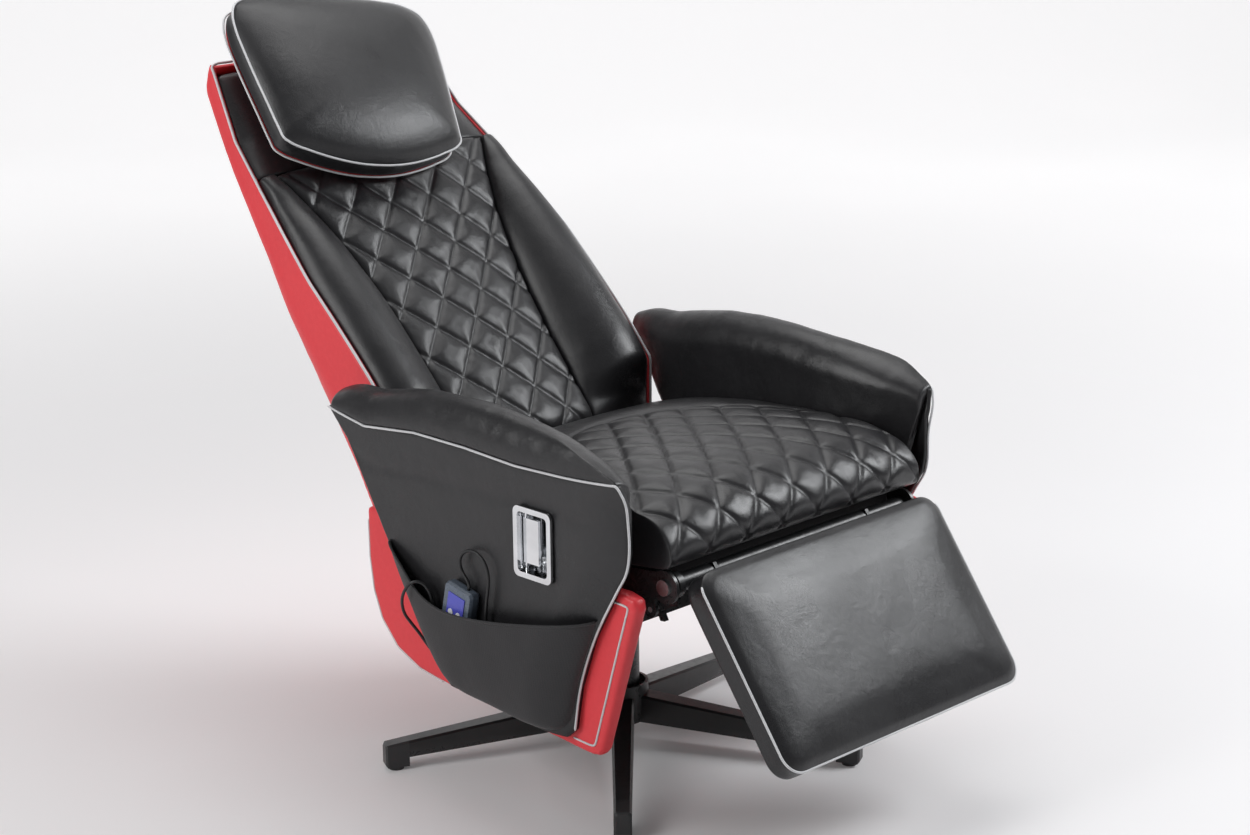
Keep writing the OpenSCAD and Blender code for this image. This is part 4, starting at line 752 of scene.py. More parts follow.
def make_shell():
    rows = np.concatenate([np.linspace(-15, 660, 92), np.linspace(667, 705, 12)])
    rings = []
    for s in rows:
        outer = resampled(shell_half(s, 0.0), 1.0)
        inner = resampled(shell_half(s, SHELL_T), 1.0)
        at_o = np.linspace(0, len(outer) - 1, 90).round().astype(int)
        at_i = np.linspace(0, len(inner) - 1, 90).round().astype(int)
        rings.append(np.vstack([outer[at_o], inner[at_i][::-1]]))
    obj = closed_form("back_cover", [on_back(r) for r in rings], "red_leather", "back", ["back_shell"],
                      start=None, end=None)
    creased(obj, 0.5, 0.06, 7.0)
    line = [(back_half(s) + 0.2, float(seam_depth(s)) + 1.6, s) for s in np.linspace(-10, 700, 70)]
    top = [(x, 17.0 + 1.2, 704.5) for x in np.linspace(186, -186, 24)]
    other = [(-x, n, s) for x, n, s in line[::-1]]
    tube("back_piping", on_back(np.array(line + top + other)), 4.0, "white_piping", "back", step=4.0)


# Quilted pad. HALF_W and HALF_L are half the width and height of a sewn diamond
QUILT_FOOT = 30.0
QUILT_TOP = 498.5
# The covers run on below the pads' foot and turn back under them
TUCK_FOOT = -14.0
TUCK_TOP = 22.0
HALF_W = 37.5
HALF_L = 42.6
PAD_H = 36.0


def quilt_seam(x, s):
    """Distance from the nearest of the two sets of slanting sewn lines."""
    u, v = x / HALF_W, (s - QUILT_FOOT) / HALF_L
    a = np.abs(u + v - 2 * np.round((u + v) / 2))
    b = np.abs(u - v - 2 * np.round((u - v) / 2))
    return np.minimum(a, b) / math.hypot(1 / HALF_W, 1 / HALF_L)


def quilt_border(x, s):
    return np.minimum(quilt_half(s) - np.abs(x), QUILT_TOP - s)


def tucked(s):
    """How far a back cover stands at a height near its foot, as a share."""
    return math.sqrt(max(0.0, 1 - (max(0.0, TUCK_TOP - s) / (TUCK_TOP - TUCK_FOOT + 1)) ** 2))


def make_quilt():
    rows = np.linspace(TUCK_FOOT, QUILT_TOP, 87)
    rings = []
    for s in rows:
        w = float(quilt_half(s)) - 0.5
        x = np.linspace(-w, w, 68)
        seam = np.minimum(quilt_seam(x, s), quilt_border(x, s))
        n = PAD_H + 9 * (1 - (x / w) ** 2) + 4.5 * dome(seam, 20.0, 0.6)
        n[[0, -1]] = PAD_H - 2
        n = n * tucked(s)
        front = np.stack([x, n, np.full(68, s)], -1)
        right = [(w, d * tucked(s), s) for d in (24, 12, 1)]
        rear = [(t * w, 0.5 * tucked(s), s) for t in np.linspace(0.9, -0.9, 9)]
        left = [(-w, d * tucked(s), s) for d in (1, 12, 24)]
        rings.append(np.vstack([front, right, rear, left]))
    obj = closed_form("quilt_cover", [on_back(r) for r in rings], "black_leather", "back", ["quilt_pad"],
                      start=(0.6,), end=(0.6,))
    local = from_row(points_of(obj), BACK_ORIGIN, BACK_TILT) * [1, -1, 1]
    seam = np.minimum(quilt_seam(local[:, 0], local[:, 2]), quilt_border(local[:, 0], local[:, 2]))
    held = (local[:, 1] < 33) | (seam < 3.4) | (local[:, 2] < TUCK_TOP)

    def finish(cover):
        p = points_of(cover)
        q = from_row(p, BACK_ORIGIN, BACK_TILT) * [1, -1, 1]
        near = quilt_seam(q[:, 0], q[:, 2])
        front = q[:, 1] > 35
        pucker = 0.25 * ripple(p, 0.012, 5.0) * np.exp(-((near - 5.0) / 6.0) ** 2)
        pushed(cover, np.where(front, groove(near, 2.4, 2.0) + pucker, 0.0))
        creased(cover, 0.35, 0.03, 6.0)

    stuff(obj, held, 2.0, finish, slack=0.008, calm=2)


# How far the bolsters swell along their height
BOLSTER_ROWS = [0, 0.05, 0.13, 0.23, 0.34, 0.45, 0.56, 0.67, 0.78, 0.88, 0.95, 1]
BOLSTER_SWELL = [0.2, 0.75, 1, 1, 1, 1, 0.95, 0.85, 0.7, 0.5, 0.4, 0.2]
# How far a bolster swells out over the lip of the shell
BOLSTER_OVER = 7.0


def make_bolsters():
    for name, side in (("r", -1), ("l", 1)):
        rings = []
        for s in np.linspace(TUCK_FOOT, QUILT_TOP, 87):
            t = float(part_way(s, QUILT_FOOT, QUILT_TOP))
            x0, x1 = float(quilt_half(s)) + 0.5, float(back_half(s)) - SHELL_T - 0.5
            d1 = max(float(seam_depth(max(s, 10.0))), 0.5)
            swell = 38.0 * float(through(BOLSTER_ROWS, BOLSTER_SWELL, [t])[0])
            a = np.linspace(0, 1, 24)
            depth = mix(PAD_H, d1, a) + swell * np.sin(math.pi * a) ** 0.75
            over = BOLSTER_OVER * np.sin(math.pi * a ** 2)
            front = np.stack([mix(x0, x1, a) + over, depth, np.full(24, s)], -1)
            outer = [(x1, mix(d1, 0, b), s) for b in (0.35, 0.7, 1.0)]
            inner = [(x0, mix(0, PAD_H, b), s) for b in (0.0, 0.35, 0.7)]
            rings.append(np.vstack([front, outer, inner]) * [side, tucked(s), 1])
        obj = closed_form("bolster_cover_" + name, [on_back(r) for r in rings], "black_leather", "back",
                          ["bolster_" + name], start=(0.6,), end=(0.6,))
        local = from_row(points_of(obj), BACK_ORIGIN, BACK_TILT) * [side, -1, 1]
        across = (local[:, 0] - quilt_half(local[:, 2])) / (
            back_half(local[:, 2]) - SHELL_T - quilt_half(local[:, 2]))
        line = mix(PAD_H, seam_depth(local[:, 2]), np.clip(across, 0, 1))
        held = (local[:, 1] < line + 1.0) | (local[:, 2] < TUCK_TOP) | (local[:, 2] > QUILT_TOP - 2)
        stuff(obj, held, 3.0, lambda cover: creased(cover, 0.45, 0.08, 8.0), calm=24)


def make_top_pad():
    rings = []
    for t in np.linspace(0, 1, 32):
        s = mix(499.5, 687.0, t)
        w = float(back_half(s)) - SHELL_T - 0.5
        edge = float(seam_depth(s))
        u = np.linspace(-1, 1, 60)
        full = math.sqrt(max(0.0, 1 - max(0.0, (t - 0.85) / 0.15) ** 2))
        n = edge + (PAD_H - edge) * full * (1 - np.abs(u) ** 6)
        over = 0.7 * BOLSTER_OVER * np.sin(math.pi * u ** 2) * np.sign(u)
        front = np.stack([u * w + over, n, np.full(60, s)], -1)
        right = [(w, edge * 0.5, s), (w, 0.5, s)]
        left = [(-w, 0.5, s), (-w, edge * 0.5, s)]
        rings.append(np.vstack([front, right, left]))
    obj = closed_form("top_cover", [on_back(r) for r in rings], "black_leather", "back", ["top_pad"],
                      start=(0.6,), end=(0.6,))
    local = from_row(points_of(obj), BACK_ORIGIN, BACK_TILT) * [1, -1, 1]
    held = (local[:, 1] < seam_depth(local[:, 2]) + 1.0) | (local[:, 2] < 501.5) | (local[:, 2] > 685)
    stuff(obj, held, 3.0, lambda cover: creased(cover, 0.5, 0.06, 9.0), calm=16)


# Head pillow: one half of its outline from the foot to the top, as shares of half its width and height
PILLOW_SIDE = [
    (0, -1), (0.22, -0.985), (0.45, -0.93), (0.68, -0.84), (0.84, -0.755), (0.89, -0.7), (0.905, -0.6),
    (0.935, -0.3), (0.965, 0), (0.99, 0.3), (1, 0.55), (0.985, 0.7), (0.93, 0.84), (0.8, 0.93),
    (0.55, 0.98), (0.27, 0.995), (0, 1)]
PILLOW_SIZE = (350.0, 302.0)
PILLOW_PLACE = (-33.0, 598.0)
PILLOW_LEAN = 11.0
PILLOW_REAR = 53.3
PILLOW_BAND = 42.0
PILLOW_CROWN = 38.0


def pillow_points(outline, share, depth):
    """A loop of the pillow, in the back's frame. Towards the middle it turns into an ellipse."""
    a = math.radians(PILLOW_LEAN)
    way = np.arctan2(outline[:, 1], outline[:, 0])
    even = np.stack([np.cos(way), np.sin(way)], -1) * 0.98
    outline = mix(outline, even, min(1.0, max(0.0, 1 - share) * 1.5))
    x = outline[:, 0] * share * PILLOW_SIZE[0] / 2
    s = outline[:, 1] * share * PILLOW_SIZE[1] / 2
    return np.stack([PILLOW_PLACE[0] + x * math.cos(a) + s * math.sin(a), np.broadcast_to(depth, x.shape),
                     PILLOW_PLACE[1] - x * math.sin(a) + s * math.cos(a)], -1)


def make_pillow():
    side = np.array(PILLOW_SIDE)
    loop = np.vstack([side, (side * [-1, 1])[-2:0:-1]])
    outline = resampled(loop * [PILLOW_SIZE[0] / 2, PILLOW_SIZE[1] / 2], 6.5, closed=True) / [
        PILLOW_SIZE[0] / 2, PILLOW_SIZE[1] / 2]
    crown_size = [1.0, 0.95, 0.85, 0.7, 0.5, 0.26, 0.0]
    crown_rise = [0.0, 0.28, 0.56, 0.78, 0.92, 0.99, 1.0]
    rings = []
    for band in np.linspace(0.25, 1, 6):
        pull = 3.0 * math.sin(math.pi * (band - 0.25) / 0.75)
        rings.append(pillow_points(outline, 1 - pull / 170.0, PILLOW_REAR + band * PILLOW_BAND))
    for share in np.linspace(0.985, 0.04, 26):
        rise = float(through(crown_size[::-1], crown_rise[::-1], [share])[0])
        rings.append(pillow_points(outline, share, PILLOW_REAR + PILLOW_BAND + rise * PILLOW_CROWN))
    obj = closed_form("pillow_cover", [on_back(r) for r in rings], "black_leather", "back",
                      ["head_pillow"], start=(0.75, 0.4), end=(0.5,))
    front = on_back(pillow_points(outline, 1.0, PILLOW_REAR + PILLOW_BAND))
    rear = on_back(pillow_points(outline, 1.0, PILLOW_REAR + 0.25 * PILLOW_BAND))
    local = from_row(points_of(obj), BACK_ORIGIN, BACK_TILT) * [1, -1, 1]
    held = local[:, 1] < PILLOW_REAR + 0.25 * PILLOW_BAND + 1.5
    edge = np.abs(local[:, 1] - PILLOW_REAR - PILLOW_BAND) < 0.8
    stuff(obj, held | edge, 4.0, lambda cover: creased(cover, 0.6, 0.1, 10.0), calm=30)
    under = [pillow_points(outline, share, PILLOW_REAR + depth * PILLOW_BAND)
             for share, depth in ((0.93, 0.0), (0.955, 0.02), (0.975, 0.12), (0.985, 0.24))]
    lining = closed_form("pillow_lining", [on_back(r) for r in under], "red_leather", "back",
                         start=(0.7, 0.35), end=(0.7, 0.35))
    creased(lining, 0.4, 0.04, 11.0)
    tube("pillow_piping_front", front, 3.5, "white_piping", "back", closed=True)
    tube("pillow_piping_rear", rear, 3.3, "white_piping", "back", closed=True)


# Footrest pad
FOOT_W, FOOT_L, FOOT_R = 476.0, 285.0, 28.0
FOOT_FACE, FOOT_TOP, FOOT_BAND, FOOT_CROWN = -58.0, -7.0, 34.0, 13.0
FOOT_POINTS = 240


def round_loop(w, l, r, step):
    """A rectangle with round corners, anticlockwise from the middle of its right side."""
    pts = []
    for cx, cy, start in ((1, 1, 0), (-1, 1, 90), (-1, -1, 180), (1, -1, 270)):
        for q in np.linspace(start, start + 90, 7):
            pts.append((cx * (w / 2 - r) + r * math.cos(math.radians(q)),
                        cy * (l / 2 - r) + r * math.sin(math.radians(q))))
    pts.append(pts[0])
    return resampled(pts, step, smooth=False)[:-1]


def foot_ring(inset, depth):
    """A loop of the footrest pad, at an inset and a depth from its board."""
    r = FOOT_R * (0.5 + (1 - inset / (FOOT_L / 2)) / 2)
    loop = round_loop(FOOT_W - 2 * inset, FOOT_L - 2 * inset, min(r, FOOT_L / 2 - inset - 0.1), 1.0)
    p = loop[np.linspace(0, len(loop), FOOT_POINTS, endpoint=False).astype(int)]
    y = np.full(FOOT_POINTS, FOOT_FACE + FOOT_BAND - depth)
    return np.stack([p[:, 0], y, FOOT_TOP - FOOT_L / 2 + p[:, 1]], -1)


def make_foot_pad():
    rings = [foot_ring(3.0, 0.0), foot_ring(0.6, 3.0)]
    for d in np.linspace(0.2, 1, 6):
        rings.append(foot_ring(1.6 * math.sin(math.pi * (d - 0.2) / 0.8), FOOT_BAND * d))
    sizes = [0, 0.035, 0.12, 0.3, 0.6, 0.985]
    rises = [0, 0.4, 0.72, 0.93, 1.0, 1.03]
    for share in np.linspace(0.012, 0.97, 22):
        rise = float(through(sizes, rises, [share])[0])
        rings.append(foot_ring(share * FOOT_L / 2, FOOT_BAND + rise * FOOT_CROWN))
    obj = closed_form("foot_cover", [on_foot(r) for r in rings], "black_leather", "footrest", ["foot_pad"],
                      start=(0.7, 0.35), end=(0.5,))
    local = from_row(points_of(obj), FOOT_ORIGIN, FOOT_TILT)
    held = (local[:, 1] > FOOT_FACE + FOOT_BAND - 4) | (np.abs(local[:, 1] - FOOT_FACE) < 0.4)
    stuff(obj, held, 4.0, lambda cover: creased(cover, 0.5, 0.11, 12.0), calm=30)
    loop = foot_ring(0.3, FOOT_BAND)
    low = loop[:, 2] < FOOT_TOP - 16
    start = int(np.argmax(low & ~np.roll(low, 1)))
    run = np.roll(loop, -start, 0)[: int(low.sum())]
    tube("foot_piping", on_foot(run), 3.4, "white_piping", "footrest")


# Arms. A place along an arm is a share from its front, and a height a share of the outer panel's
ARM_FRONT, ARM_REAR = -316.0, 256.0
ARM_BOTTOM, ARM_SEAM = 150.0, 525.0
ARM_LOW = [
    (0, 0.747), (0.009, 0.68), (0.038, 0.605), (0.114, 0.397), (0.163, 0.192), (0.182, 0.03), (0.2, 0),
    (0.26, 0.007), (0.33, 0.016), (0.397, 0.024), (0.58, 0.046), (0.605, 0.075), (0.642, 0.165),
    (0.797, 0.536), (0.935, 0.88), (1, 0.979)]
ARM_HIGH = [
    (0, 0.933), (0.009, 1), (0.155, 0.989), (0.32, 0.981), (0.49, 0.992), (0.666, 0.992), (0.85, 0.96),
    (1, 0.992)]
ARM_NOSE = [(z, t) for t, z in ARM_LOW[5::-1]]
SIDE_IN, SIDE_OUT, PANEL_OUT, ARM_IN = 270.0, 292.0, 318.0, 258.0
PANEL_T, ARM_EDGE, ARM_CLOSE, ROLL_OVER, ROLL_H = 8.0, 2.0, 17.0, 10.0, 58.0
ARM_PAD_Z, WAIST = 400.0, 46.0
ARM_ROWS = [
    (0.012, 0.03, 0.78, 0.0), (0.045, 0.22, 0.86, 0.22), (0.09, 0.45, 0.92, 0.5), (0.15, 0.65, 0.84, 0.75),
    (0.215, 0.80, 0.70, 0.9), (0.30, 0.93, 0.60, 1.0), (0.41, 1.0, 0.53, 1.0), (0.53, 1.0, 0.53, 1.0),
    (0.65, 0.95, 0.53, 1.0), (0.77, 0.87, 0.52, 0.97), (0.87, 0.76, 0.5, 0.9), (0.94, 0.60, 0.48, 0.75),
    (0.985, 0.38, 0.45, 0.5)]


def arm_y(t):
    return mix(ARM_FRONT, ARM_REAR, t)


def arm_z(v):
    return mix(ARM_BOTTOM, ARM_SEAM, v)


def arm_low(t):
    return arm_z(straight(ARM_LOW, t))


def arm_high(t):
    return arm_z(straight(ARM_HIGH, t))


def arm_skin(y, z):
    """Outer face of the panel, which turns inwards along its front edge."""
    v = (z - ARM_BOTTOM) / (ARM_SEAM - ARM_BOTTOM)
    nose = arm_y(straight(ARM_NOSE, v))
    turned = np.clip(1 - (y - nose) / 70.0, 0, 1) ** 2
    return PANEL_OUT - ARM_CLOSE * mix(1, 0.25, np.clip((v - 0.9) / 0.1, 0, 1)) * turned


def arm_pad_ring(t):
    r = np.array(ARM_ROWS)
    rise, place, full = (float(through(r[:, 0], r[:, c], [t])[0]) for c in (1, 2, 3))
    full = min(full, 1.0)
    y, high = arm_y(t), float(arm_high(t))
    skin = float(arm_skin(y, ARM_SEAM))
    x_in = mix(SIDE_OUT - 2 * ARM_EDGE, ARM_IN, full)
    x_out = skin + ROLL_OVER * full
    low = min(high - ARM_EDGE, max(ARM_PAD_Z, float(arm_low(t)) + 12))
    top = high + ARM_EDGE + ROLL_H * rise
    waist = max(low + 2 * ARM_EDGE, top - WAIST * (0.4 + full * 0.6))
    cx = min(max(mix(ARM_IN, PANEL_OUT + ROLL_OVER, place), x_in + ARM_EDGE), x_out - ARM_EDGE)
    q = np.linspace(0, math.pi / 2, 13)
    inner = np.stack([mix(cx, x_in, np.cos(q)), mix(waist, top, np.sin(q))], -1)
    outer = np.stack([mix(cx, x_out, np.sin(q[1:])), mix(high + ARM_EDGE, top, np.cos(q[1:]))], -1)
    wall = np.stack([np.full(8, x_in + 0.5), np.linspace(low, waist, 9)[:-1]], -1)
    wall[0, 0] = x_in + ARM_EDGE
    foot = [(SIDE_OUT - 0.3, low)]
    seat = high + 0.3
    seam = [(skin - ARM_EDGE, seat), (mix(skin, SIDE_OUT, 0.5), seat), (SIDE_OUT - 0.3, seat)]
    back = [(SIDE_OUT - 0.3, mix(high, low, b)) for b in (0.33, 0.66)]
    p = np.vstack([foot, wall, inner, outer, seam, back])
    back_set = 24.0 * np.clip(1 - t / 0.15, 0, 1) * np.clip((ARM_SEAM - 30 - p[:, 1]) / 60.0, 0, 1)
    return np.stack([p[:, 0], y + back_set, p[:, 1]], -1)


def make_arm_pads():
    for name, side in (("r", -1), ("l", 1)):
        ts = np.concatenate([np.linspace(0.012, 0.06, 7), np.linspace(0.07, 0.985, 86)])
        rings = [arm_pad_ring(t) * [side, 1, 1] for t in ts]
        obj = closed_form("arm_cover_" + name, [to_row(r) for r in rings], "black_leather", "seat",
                          ["arm_pad_" + name], start=(0.7, 0.35), end=(0.7, 0.35), bulge=(2.0, 2.0))
        p = points_of(obj) / MM - [0, SWIVEL_Y, 0]
        t = (p[:, 1] - ARM_FRONT) / (ARM_REAR - ARM_FRONT)
        x = p[:, 0] * side
        held = (x > SIDE_OUT - 6) & (p[:, 2] < arm_high(t) + 3.5) | (p[:, 2] < 404)
        held |= (t < 0.03) | (t > 0.975)

        def finish(cover, seed=13.0 + side):
            creased(cover, 0.8, 0.06, seed)
            creased(cover, 0.3, 0.02, seed + 1)

        stuff(obj, held, 3.0, finish, calm=24)


# The rim of the release handle: its middle, width and height
BEZEL_Y, BEZEL_Z, BEZEL_W, BEZEL_H = -159.0, 414.0, 71.0, 98.0


def panel_soft(y, z):
    """How far the padded outer panel stands in or out, in millimetres."""
    bezel = np.maximum(np.abs(y - BEZEL_Y) - BEZEL_W / 2, np.abs(z - BEZEL_Z) - BEZEL_H / 2)
    out = -2.2 * np.exp(-np.clip(bezel, 0, None) / 14.0)
    t = (y - ARM_FRONT) / (ARM_REAR - ARM_FRONT)
    crease = arm_high(t) - z
    out = out - 1.6 * np.exp(-((crease - 34 - 26 * np.sin(2.4 * t)) / 9.0) ** 2) * part_way(t, 0.2, 0.35)
    out = out - 1.4 * np.exp(-((z - mix(468, 430, t)) / 7.0) ** 2 - ((t - 0.12) / 0.06) ** 2)
    return out


def make_arm_panels():
    for name, side in (("r", -1), ("l", 1)):
        knots = sorted({round(float(t), 4) for t in np.concatenate([
            [a for a, _ in ARM_LOW], [a for a, _ in ARM_HIGH], np.linspace(0, 1, 128)])})
        rings = []
        for t in knots:
            y, low, high = arm_y(t), float(arm_low(t)), float(arm_high(t))
            v = np.linspace(0, 1, 56)
            z = mix(low, high, v)
            skin = arm_skin(np.full(56, y), z)
            edge = np.minimum(z - low, high - z)
            x = skin - ARM_EDGE * np.clip(1 - edge / 5.0, 0, 1) ** 2
            x = x + panel_soft(np.full(56, y), z) * np.clip(edge / 12.0, 0, 1)
            inner = np.linspace(1, 0, 8)
            zi = mix(low, high, inner)
            xi = arm_skin(np.full(8, y), zi) - PANEL_T
            ring = np.vstack([np.stack([x, np.full(56, y), z], -1), np.stack([xi, np.full(8, y), zi], -1)])
            rings.append(to_row(ring * [side, 1, 1]))
        obj = closed_form("arm_side_" + name, rings, "black_leather", "seat", ["arm_panel_" + name],
                          start=None, end=None)
        if side < 0:
            cut_opening(obj)
        creased(obj, 0.45, 0.045, 15.0 + side)
        rows = np.array(ARM_ROWS)
        seam = []
        for t in np.linspace(0.995, 0.014, 70):
            over = 0.85 * ROLL_OVER * min(1.0, float(through(rows[:, 0], rows[:, 3], [t])[0]))
            y, z = arm_y(t), float(arm_high(t))
            seam.append((float(arm_skin(y, z)) + 0.4 + over, y, z + 0.6))
        nose = [(float(arm_skin(arm_y(t), arm_z(v))) - 0.5, arm_y(t) - 1.0, float(arm_z(v)))
                for t, v in ARM_LOW[1:6]]
        corner = [(float(arm_skin(arm_y(0.002), arm_z(0.97))) - 0.2, arm_y(0.002) - 1.0, arm_z(0.965)),
                  (float(arm_skin(arm_y(0.0), arm_z(0.85))) - 0.2, arm_y(0.0) - 1.0, arm_z(0.85))]
        path = np.array(seam + corner + nose) * [side, 1, 1]
        tube("arm_piping_" + name, to_row(path), 3.4, "white_piping", "seat")


def cut_opening(obj):
    """Opens the panel behind the rim of the release handle."""
    bm = bmesh.new()
    bm.from_mesh(obj.data)
    gone = []
    for face in bm.faces:
        c = face.calc_center_median() / MM
        if abs(c.y - SWIVEL_Y - BEZEL_Y) < BEZEL_W / 2 - 4 and abs(c.z - BEZEL_Z) < BEZEL_H / 2 - 4:
            gone.append(face)
    bmesh.ops.delete(bm, geom=gone, context="FACES")
    bm.to_mesh(obj.data)
    bm.free()


# Pocket: its hem and its sewn foot, from front to rear, as places on the arm's outer panel
HEM = [(0.094, 0.478), (0.13, 0.465), (0.2, 0.445), (0.31, 0.412), (0.41, 0.387), (0.5, 0.373),
       (0.575, 0.375), (0.645, 0.405), (0.715, 0.475), (0.785, 0.542)]
POCKET_FOOT = [(0.102, 0.455), (0.126, 0.365), (0.158, 0.235), (0.2, 0.045), (0.3, 0.02), (0.42, 0.034),
               (0.54, 0.05), (0.615, 0.115), (0.7, 0.315), (0.778, 0.5)]


def pocket_place(u, v):
    """Place on the pocket from its front edge and its foot: x, y and z."""
    hem, foot = np.array(HEM), np.array(POCKET_FOOT)
    k = np.arange(len(hem))
    h, f = through(k, hem, [u])[0], through(k, foot, [u])[0]
    t, z = mix(f[0], h[0], v), arm_z(mix(f[1], h[1], v))
    n = len(hem) - 1
    open_way = max(0.0, math.sin(math.pi * u / n))
    lift = 27.0 * open_way ** 0.6 * v ** 0.45
    y = arm_y(t)
    return float(arm_skin(y, z)) + 0.8 + lift, y, float(z)


def make_pocket():
    rings = []
    n = len(HEM) - 1
    for u in np.linspace(0, n, 70):
        outer, inner = [], []
        for v in np.linspace(0, 1, 34):
            x, y, z = pocket_place(u, v)
            outer.append((x + 1.6, y, z))
            inner.append((x, y, z))
        rings.append(to_row(np.array(outer + inner[::-1]) * [-1, 1, 1]))
    obj = closed_form("pocket_cover", rings, "pocket_cloth", "seat", ["arm_pocket"], start=None, end=None)
    p = points_of(obj)
    sway = ripple(p * [1, 1, 0.45], 0.05, 17.0)
    move_to(obj, p + np.stack([-0.0016 * sway, 0 * sway, 0 * sway], -1))
    hem = [pocket_place(u, 1.0) for u in np.linspace(0.02, n - 0.02, 60)]
    hem = np.array([(x + 1.1, y, z - 1.0) for x, y, z in hem]) * [-1, 1, 1]
    band = tube("pocket_hem", to_row(hem), 3.6, "pocket_cloth", "seat")


# Side panels, which carry the seat, and the rear panel between them
SIDE_SHARES = [
    (0.0, 0.90), (0.006, 0.955), (0.045, 0.975), (0.30, 0.965), (0.985, 1.0), (1.0, 0.985), (0.998, 0.7),
    (0.985, 0.5), (0.955, 0.34), (0.895, 0.2), (0.81, 0.12), (0.7, 0.085), (0.2, 0.005), (0.16, 0.0),
    (0.135, 0.01), (0.122, 0.045), (0.035, 0.66)]


# A side panel's rounded edge: depth from its face, and inset
SIDE_ROUND = [(0.2, 5.0), (1.4, 2.4), (4.0, 0.6), (8.0, 0.0)]
SIDE_FRONT, SIDE_REAR, SIDE_FOOT, SIDE_TOP = -321.0, 213.0, 130.0, 378.0
SIDE_STEP = 6.0


def side_outline():
    p = np.array([(mix(SIDE_FRONT, SIDE_REAR, a), mix(SIDE_FOOT, SIDE_TOP, b)) for a, b in SIDE_SHARES])
    return resampled(np.vstack([p, p[:1]]), SIDE_STEP, smooth=False)[:-1]


def inset_loop(loop, amount):
    """A loop moved inwards along its own normals."""
    d = np.roll(loop, -2, 0) - np.roll(loop, 2, 0)
    n = np.stack([d[:, 1], -d[:, 0]], -1)
    n /= np.linalg.norm(n, axis=1)[:, None]
    if ((loop - loop.mean(0)) * n).sum() > 0:
        n = -n
    return loop + n * amount


def make_side_panels():
    loop = side_outline()
    for name, side in (("r", -1), ("l", 1)):
        rings = []
        places = [(SIDE_IN + d, inset) for d, inset in SIDE_ROUND]
        places += [(SIDE_OUT - d, inset) for d, inset in SIDE_ROUND[::-1]]
        for x, inset in places + [(SIDE_OUT, 9.0)]:
            p = inset_loop(loop, inset)
            rings.append(to_row(np.stack([np.full(len(p), side * x), p[:, 0], p[:, 1]], -1)))
        obj = closed_form("side_cover_" + name, rings, "red_leather", "seat", ["side_panel_" + name],
                          start=(0.94, 0.86, 0.75, 0.6, 0.45, 0.3, 0.15),
                          end=(0.94, 0.86, 0.75, 0.6, 0.45, 0.3, 0.15))
        creased(obj, 0.4, 0.05, 18.0 + side)
        strip = inset_loop(loop, 14.0)
        z, y = strip[:, 1], strip[:, 0]
        front = (y < -200) & (z > 142)
        run = np.roll(strip, -int(np.argmax(front & ~np.roll(front, 1))), 0)[: int(front.sum())]
        for _ in range(4):
            run[1:-1] = 0.5 * run[1:-1] + 0.25 * (run[2:] + run[:-2])
        path = np.stack([np.full(len(run), side * (SIDE_OUT + 0.6)), run[:, 0], run[:, 1]], -1)
        tube("side_piping_" + name, to_row(path), 3.0, "white_piping", "seat")
        rear = loop[(loop[:, 0] > 60) & (loop[:, 1] < 362)]
        rear = rear[np.argsort(rear[:, 1] * 1.0 + rear[:, 0] * 0.4)]
        path = np.stack([np.full(len(rear), side * (SIDE_OUT - 2.5)), rear[:, 0], rear[:, 1]], -1)
        tube("side_rear_piping_" + name, to_row(path), 2.6, "white_piping", "seat")


def make_rear_panel():
    rings = []
    for x, draw in [(-SIDE_IN + 0.4, 1.5)] + [(v, 0.0) for v in np.linspace(-266, 266, 60)] + [
            (SIDE_IN - 0.4, 1.5)]:
        loop = round_loop(12.0 - draw, 118.0 - draw, 4.5, 1.0)
        pick = np.linspace(0, len(loop), 56, endpoint=False).astype(int)
        p = loop[pick]
        rings.append(to_row(np.stack([np.full(56, x), 178.0 + p[:, 0], 237.0 + p[:, 1]], -1)))
    obj = closed_form("rear_cover", rings, "red_leather", "seat", ["rear_panel"])
    creased(obj, 0.5, 0.04, 19.0)


# Cords
CORD_D = 4.5
CORD_ROUTE = [
    (-328, -38.7, 323.7), (-328, -40, 330), (-328, -37, 336), (-328, -30, 343), (-328, -24, 352),
    (-328, -23, 363), (-328, -30, 374), (-328, -42, 380), (-328, -56, 380), (-328, -68, 374),
    (-328, -76, 363), (-328, -79, 350), (-328, -78, 336), (-328, -75, 320), (-328, -73, 304),
    (-328, -72, 286), (-327, -73, 268), (-326, -74, 250), (-325, -72, 232), (-324, -66, 216),
    (-323, -55, 204), (-323, -40, 197), (-323, -24, 195), (-324, -8, 197), (-325, 6, 205),
    (-326, 16, 218), (-327, 22, 234), (-328, 26, 252), (-329, 30, 270), (-330, 34, 287), (-331, 40, 303),
    (-334, 47, 312), (-341, 55, 316), (-346, 63, 311), (-347, 71, 301), (-345, 79, 289), (-340, 86, 274),
    (-332, 90, 257), (-321, 90, 241), (-311, 86, 225), (-305, 79, 211), (-302, 69, 200), (-301, 56, 193),
    (-301, 42, 190), (-301, 28, 191), (-300, 17, 194), (-296, 10, 196), (-289, 8, 196), (-281, 8, 196),
    (-272, 8, 196), (-263, 9, 197), (-254, 13, 201), (-246, 21, 209), (-239, 32, 222), (-233, 44, 238),
    (-227, 56, 255), (-220, 67, 270), (-211, 76, 281), (-206, 80, 286), (-201, 82, 288)]


def make_cord():
    path = to_row(resampled(CORD_ROUTE, 4.0))
    obj = tube("handset_lead", path, CORD_D, "cord_black", "seat", step=4.0, sides=12, taper=False)
    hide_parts("handset_cord")


make_cord()
make_seat()
make_shell()
make_quilt()
make_bolsters()
make_top_pad()
make_pillow()
make_foot_pad()
make_arm_pads()
make_arm_panels()
make_pocket()
make_side_panels()
make_rear_panel()
run_cloth()


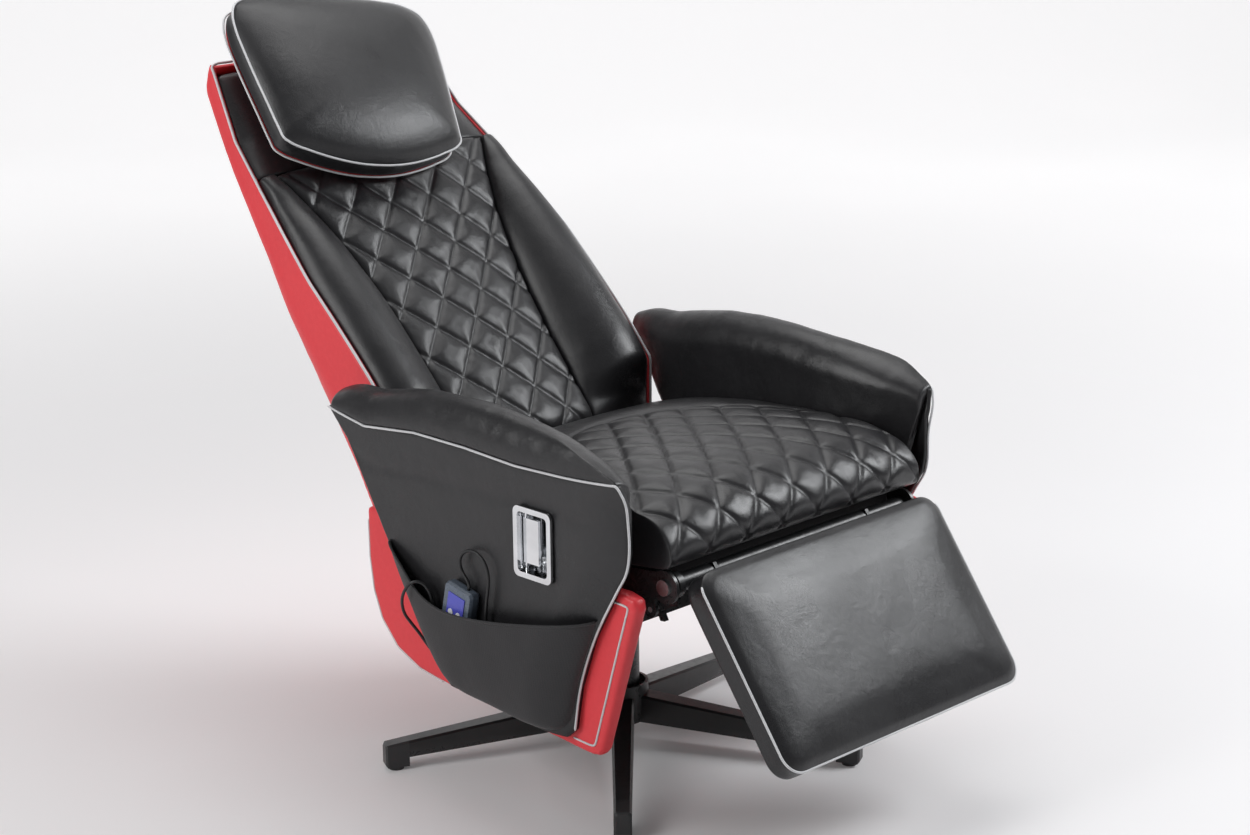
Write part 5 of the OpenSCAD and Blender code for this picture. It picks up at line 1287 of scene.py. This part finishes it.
# Floor, backdrop and light
def make_stage():
    """A pale floor that turns up into the backdrop, away from the camera."""
    pts = []
    for d in np.linspace(-9.0, 4.5, 28):
        pts.append((d, 0.0))
    for q in np.linspace(0, 90, 16)[1:]:
        a = math.radians(q)
        pts.append((4.5 + 2.0 * math.sin(a), 2.0 - 2.0 * math.cos(a)))
    pts.append((6.5, 6.0))
    along = np.array([0.705, 0.709, 0.0])
    across = np.array([0.709, -0.705, 0.0])
    verts, faces = [], []
    for d, z in pts:
        for w in np.linspace(-9, 9, 10):
            verts.append(tuple(along * d + across * w + [0, 0, z]))
    for r in range(len(pts) - 1):
        for c in range(9):
            faces.append((r * 10 + c, r * 10 + c + 1, (r + 1) * 10 + c + 1, (r + 1) * 10 + c))
    mesh = bpy.data.meshes.new("floor")
    mesh.from_pydata(verts, [], faces)
    mesh.polygons.foreach_set("use_smooth", [True] * len(mesh.polygons))
    obj = bpy.data.objects.new("floor", mesh)
    scene.collection.objects.link(obj)
    m = Maker("floor")
    cloudy = m.noise(1.2, 2.0)
    rough = m.spread(cloudy, 0.3, 0.7, 0.55, 0.7)
    m.finish(m.blend(cloudy, rgb(0.80, 0.785, 0.79), rgb(0.83, 0.82, 0.825)), rough,
             m.bump(m.noise(300.0, 2.0), 0.05, 0.0003), Specular_IOR_Level=0.2)
    far = m.add("ShaderNodeVectorMath", {0: m.place}, operation="LENGTH").outputs["Value"]
    seen = m.add("ShaderNodeLightPath").outputs
    rays = m.math("ADD", seen["Is Camera Ray"], m.math(
        "ADD", seen["Is Glossy Ray"], seen["Is Transmission Ray"]), clamp=True)
    # The far floor and backdrop look pale to the camera and in gloss, and the floor keeps its shadow
    glow = m.math("MULTIPLY", m.spread(far, 1.2, 4.5, 0.07, 0.62), rays)
    m.link(rgb(1.0, 0.995, 1.0), m.shader.inputs["Emission Color"])
    m.link(glow, m.shader.inputs["Emission Strength"])
    mesh.materials.append(m.material)


def make_light(name, place, aim, size, power, tint=(1.0, 1.0, 1.0)):
    data = bpy.data.lights.new(name, "AREA")
    data.shape = "RECTANGLE"
    data.size, data.size_y = size
    data.energy = power
    data.color = tint
    obj = bpy.data.objects.new(name, data)
    scene.collection.objects.link(obj)
    obj.location = place
    obj.rotation_euler = (Vector(aim) - Vector(place)).to_track_quat("-Z", "Y").to_euler()


WORLD_LIGHT, WORLD_SEEN = 0.21, 0.92


def make_world():
    """A pale even surround, which the camera sees nearly white."""
    world = bpy.data.worlds.new("world")
    scene.world = world
    world.use_nodes = True
    back = world.node_tree.nodes["Background"]
    back.inputs["Color"].default_value = rgb(0.97, 0.98, 1.0)
    seen = world.node_tree.nodes.new("ShaderNodeLightPath")
    level = world.node_tree.nodes.new("ShaderNodeMapRange")
    level.inputs["To Min"].default_value = WORLD_LIGHT
    level.inputs["To Max"].default_value = WORLD_SEEN
    world.node_tree.links.new(seen.outputs["Is Camera Ray"], level.inputs["Value"])
    world.node_tree.links.new(level.outputs["Result"], back.inputs["Strength"])


make_stage()
make_world()
make_light("softbox_left", (-3.4, 0.9, 2.2), (0.0, 0.0, 0.6), (1.6, 2.2), 66.0)
make_light("softbox_top", (0.6, 0.6, 3.4), (0.0, -0.1, 0.4), (2.6, 2.0), 48.0)
make_light("softbox_right", (2.5, -2.0, 2.6), (0.0, -0.4, 0.4), (1.7, 1.2), 90.0,
           (0.96, 0.98, 1.0))
scene.view_settings.view_transform = "Standard"
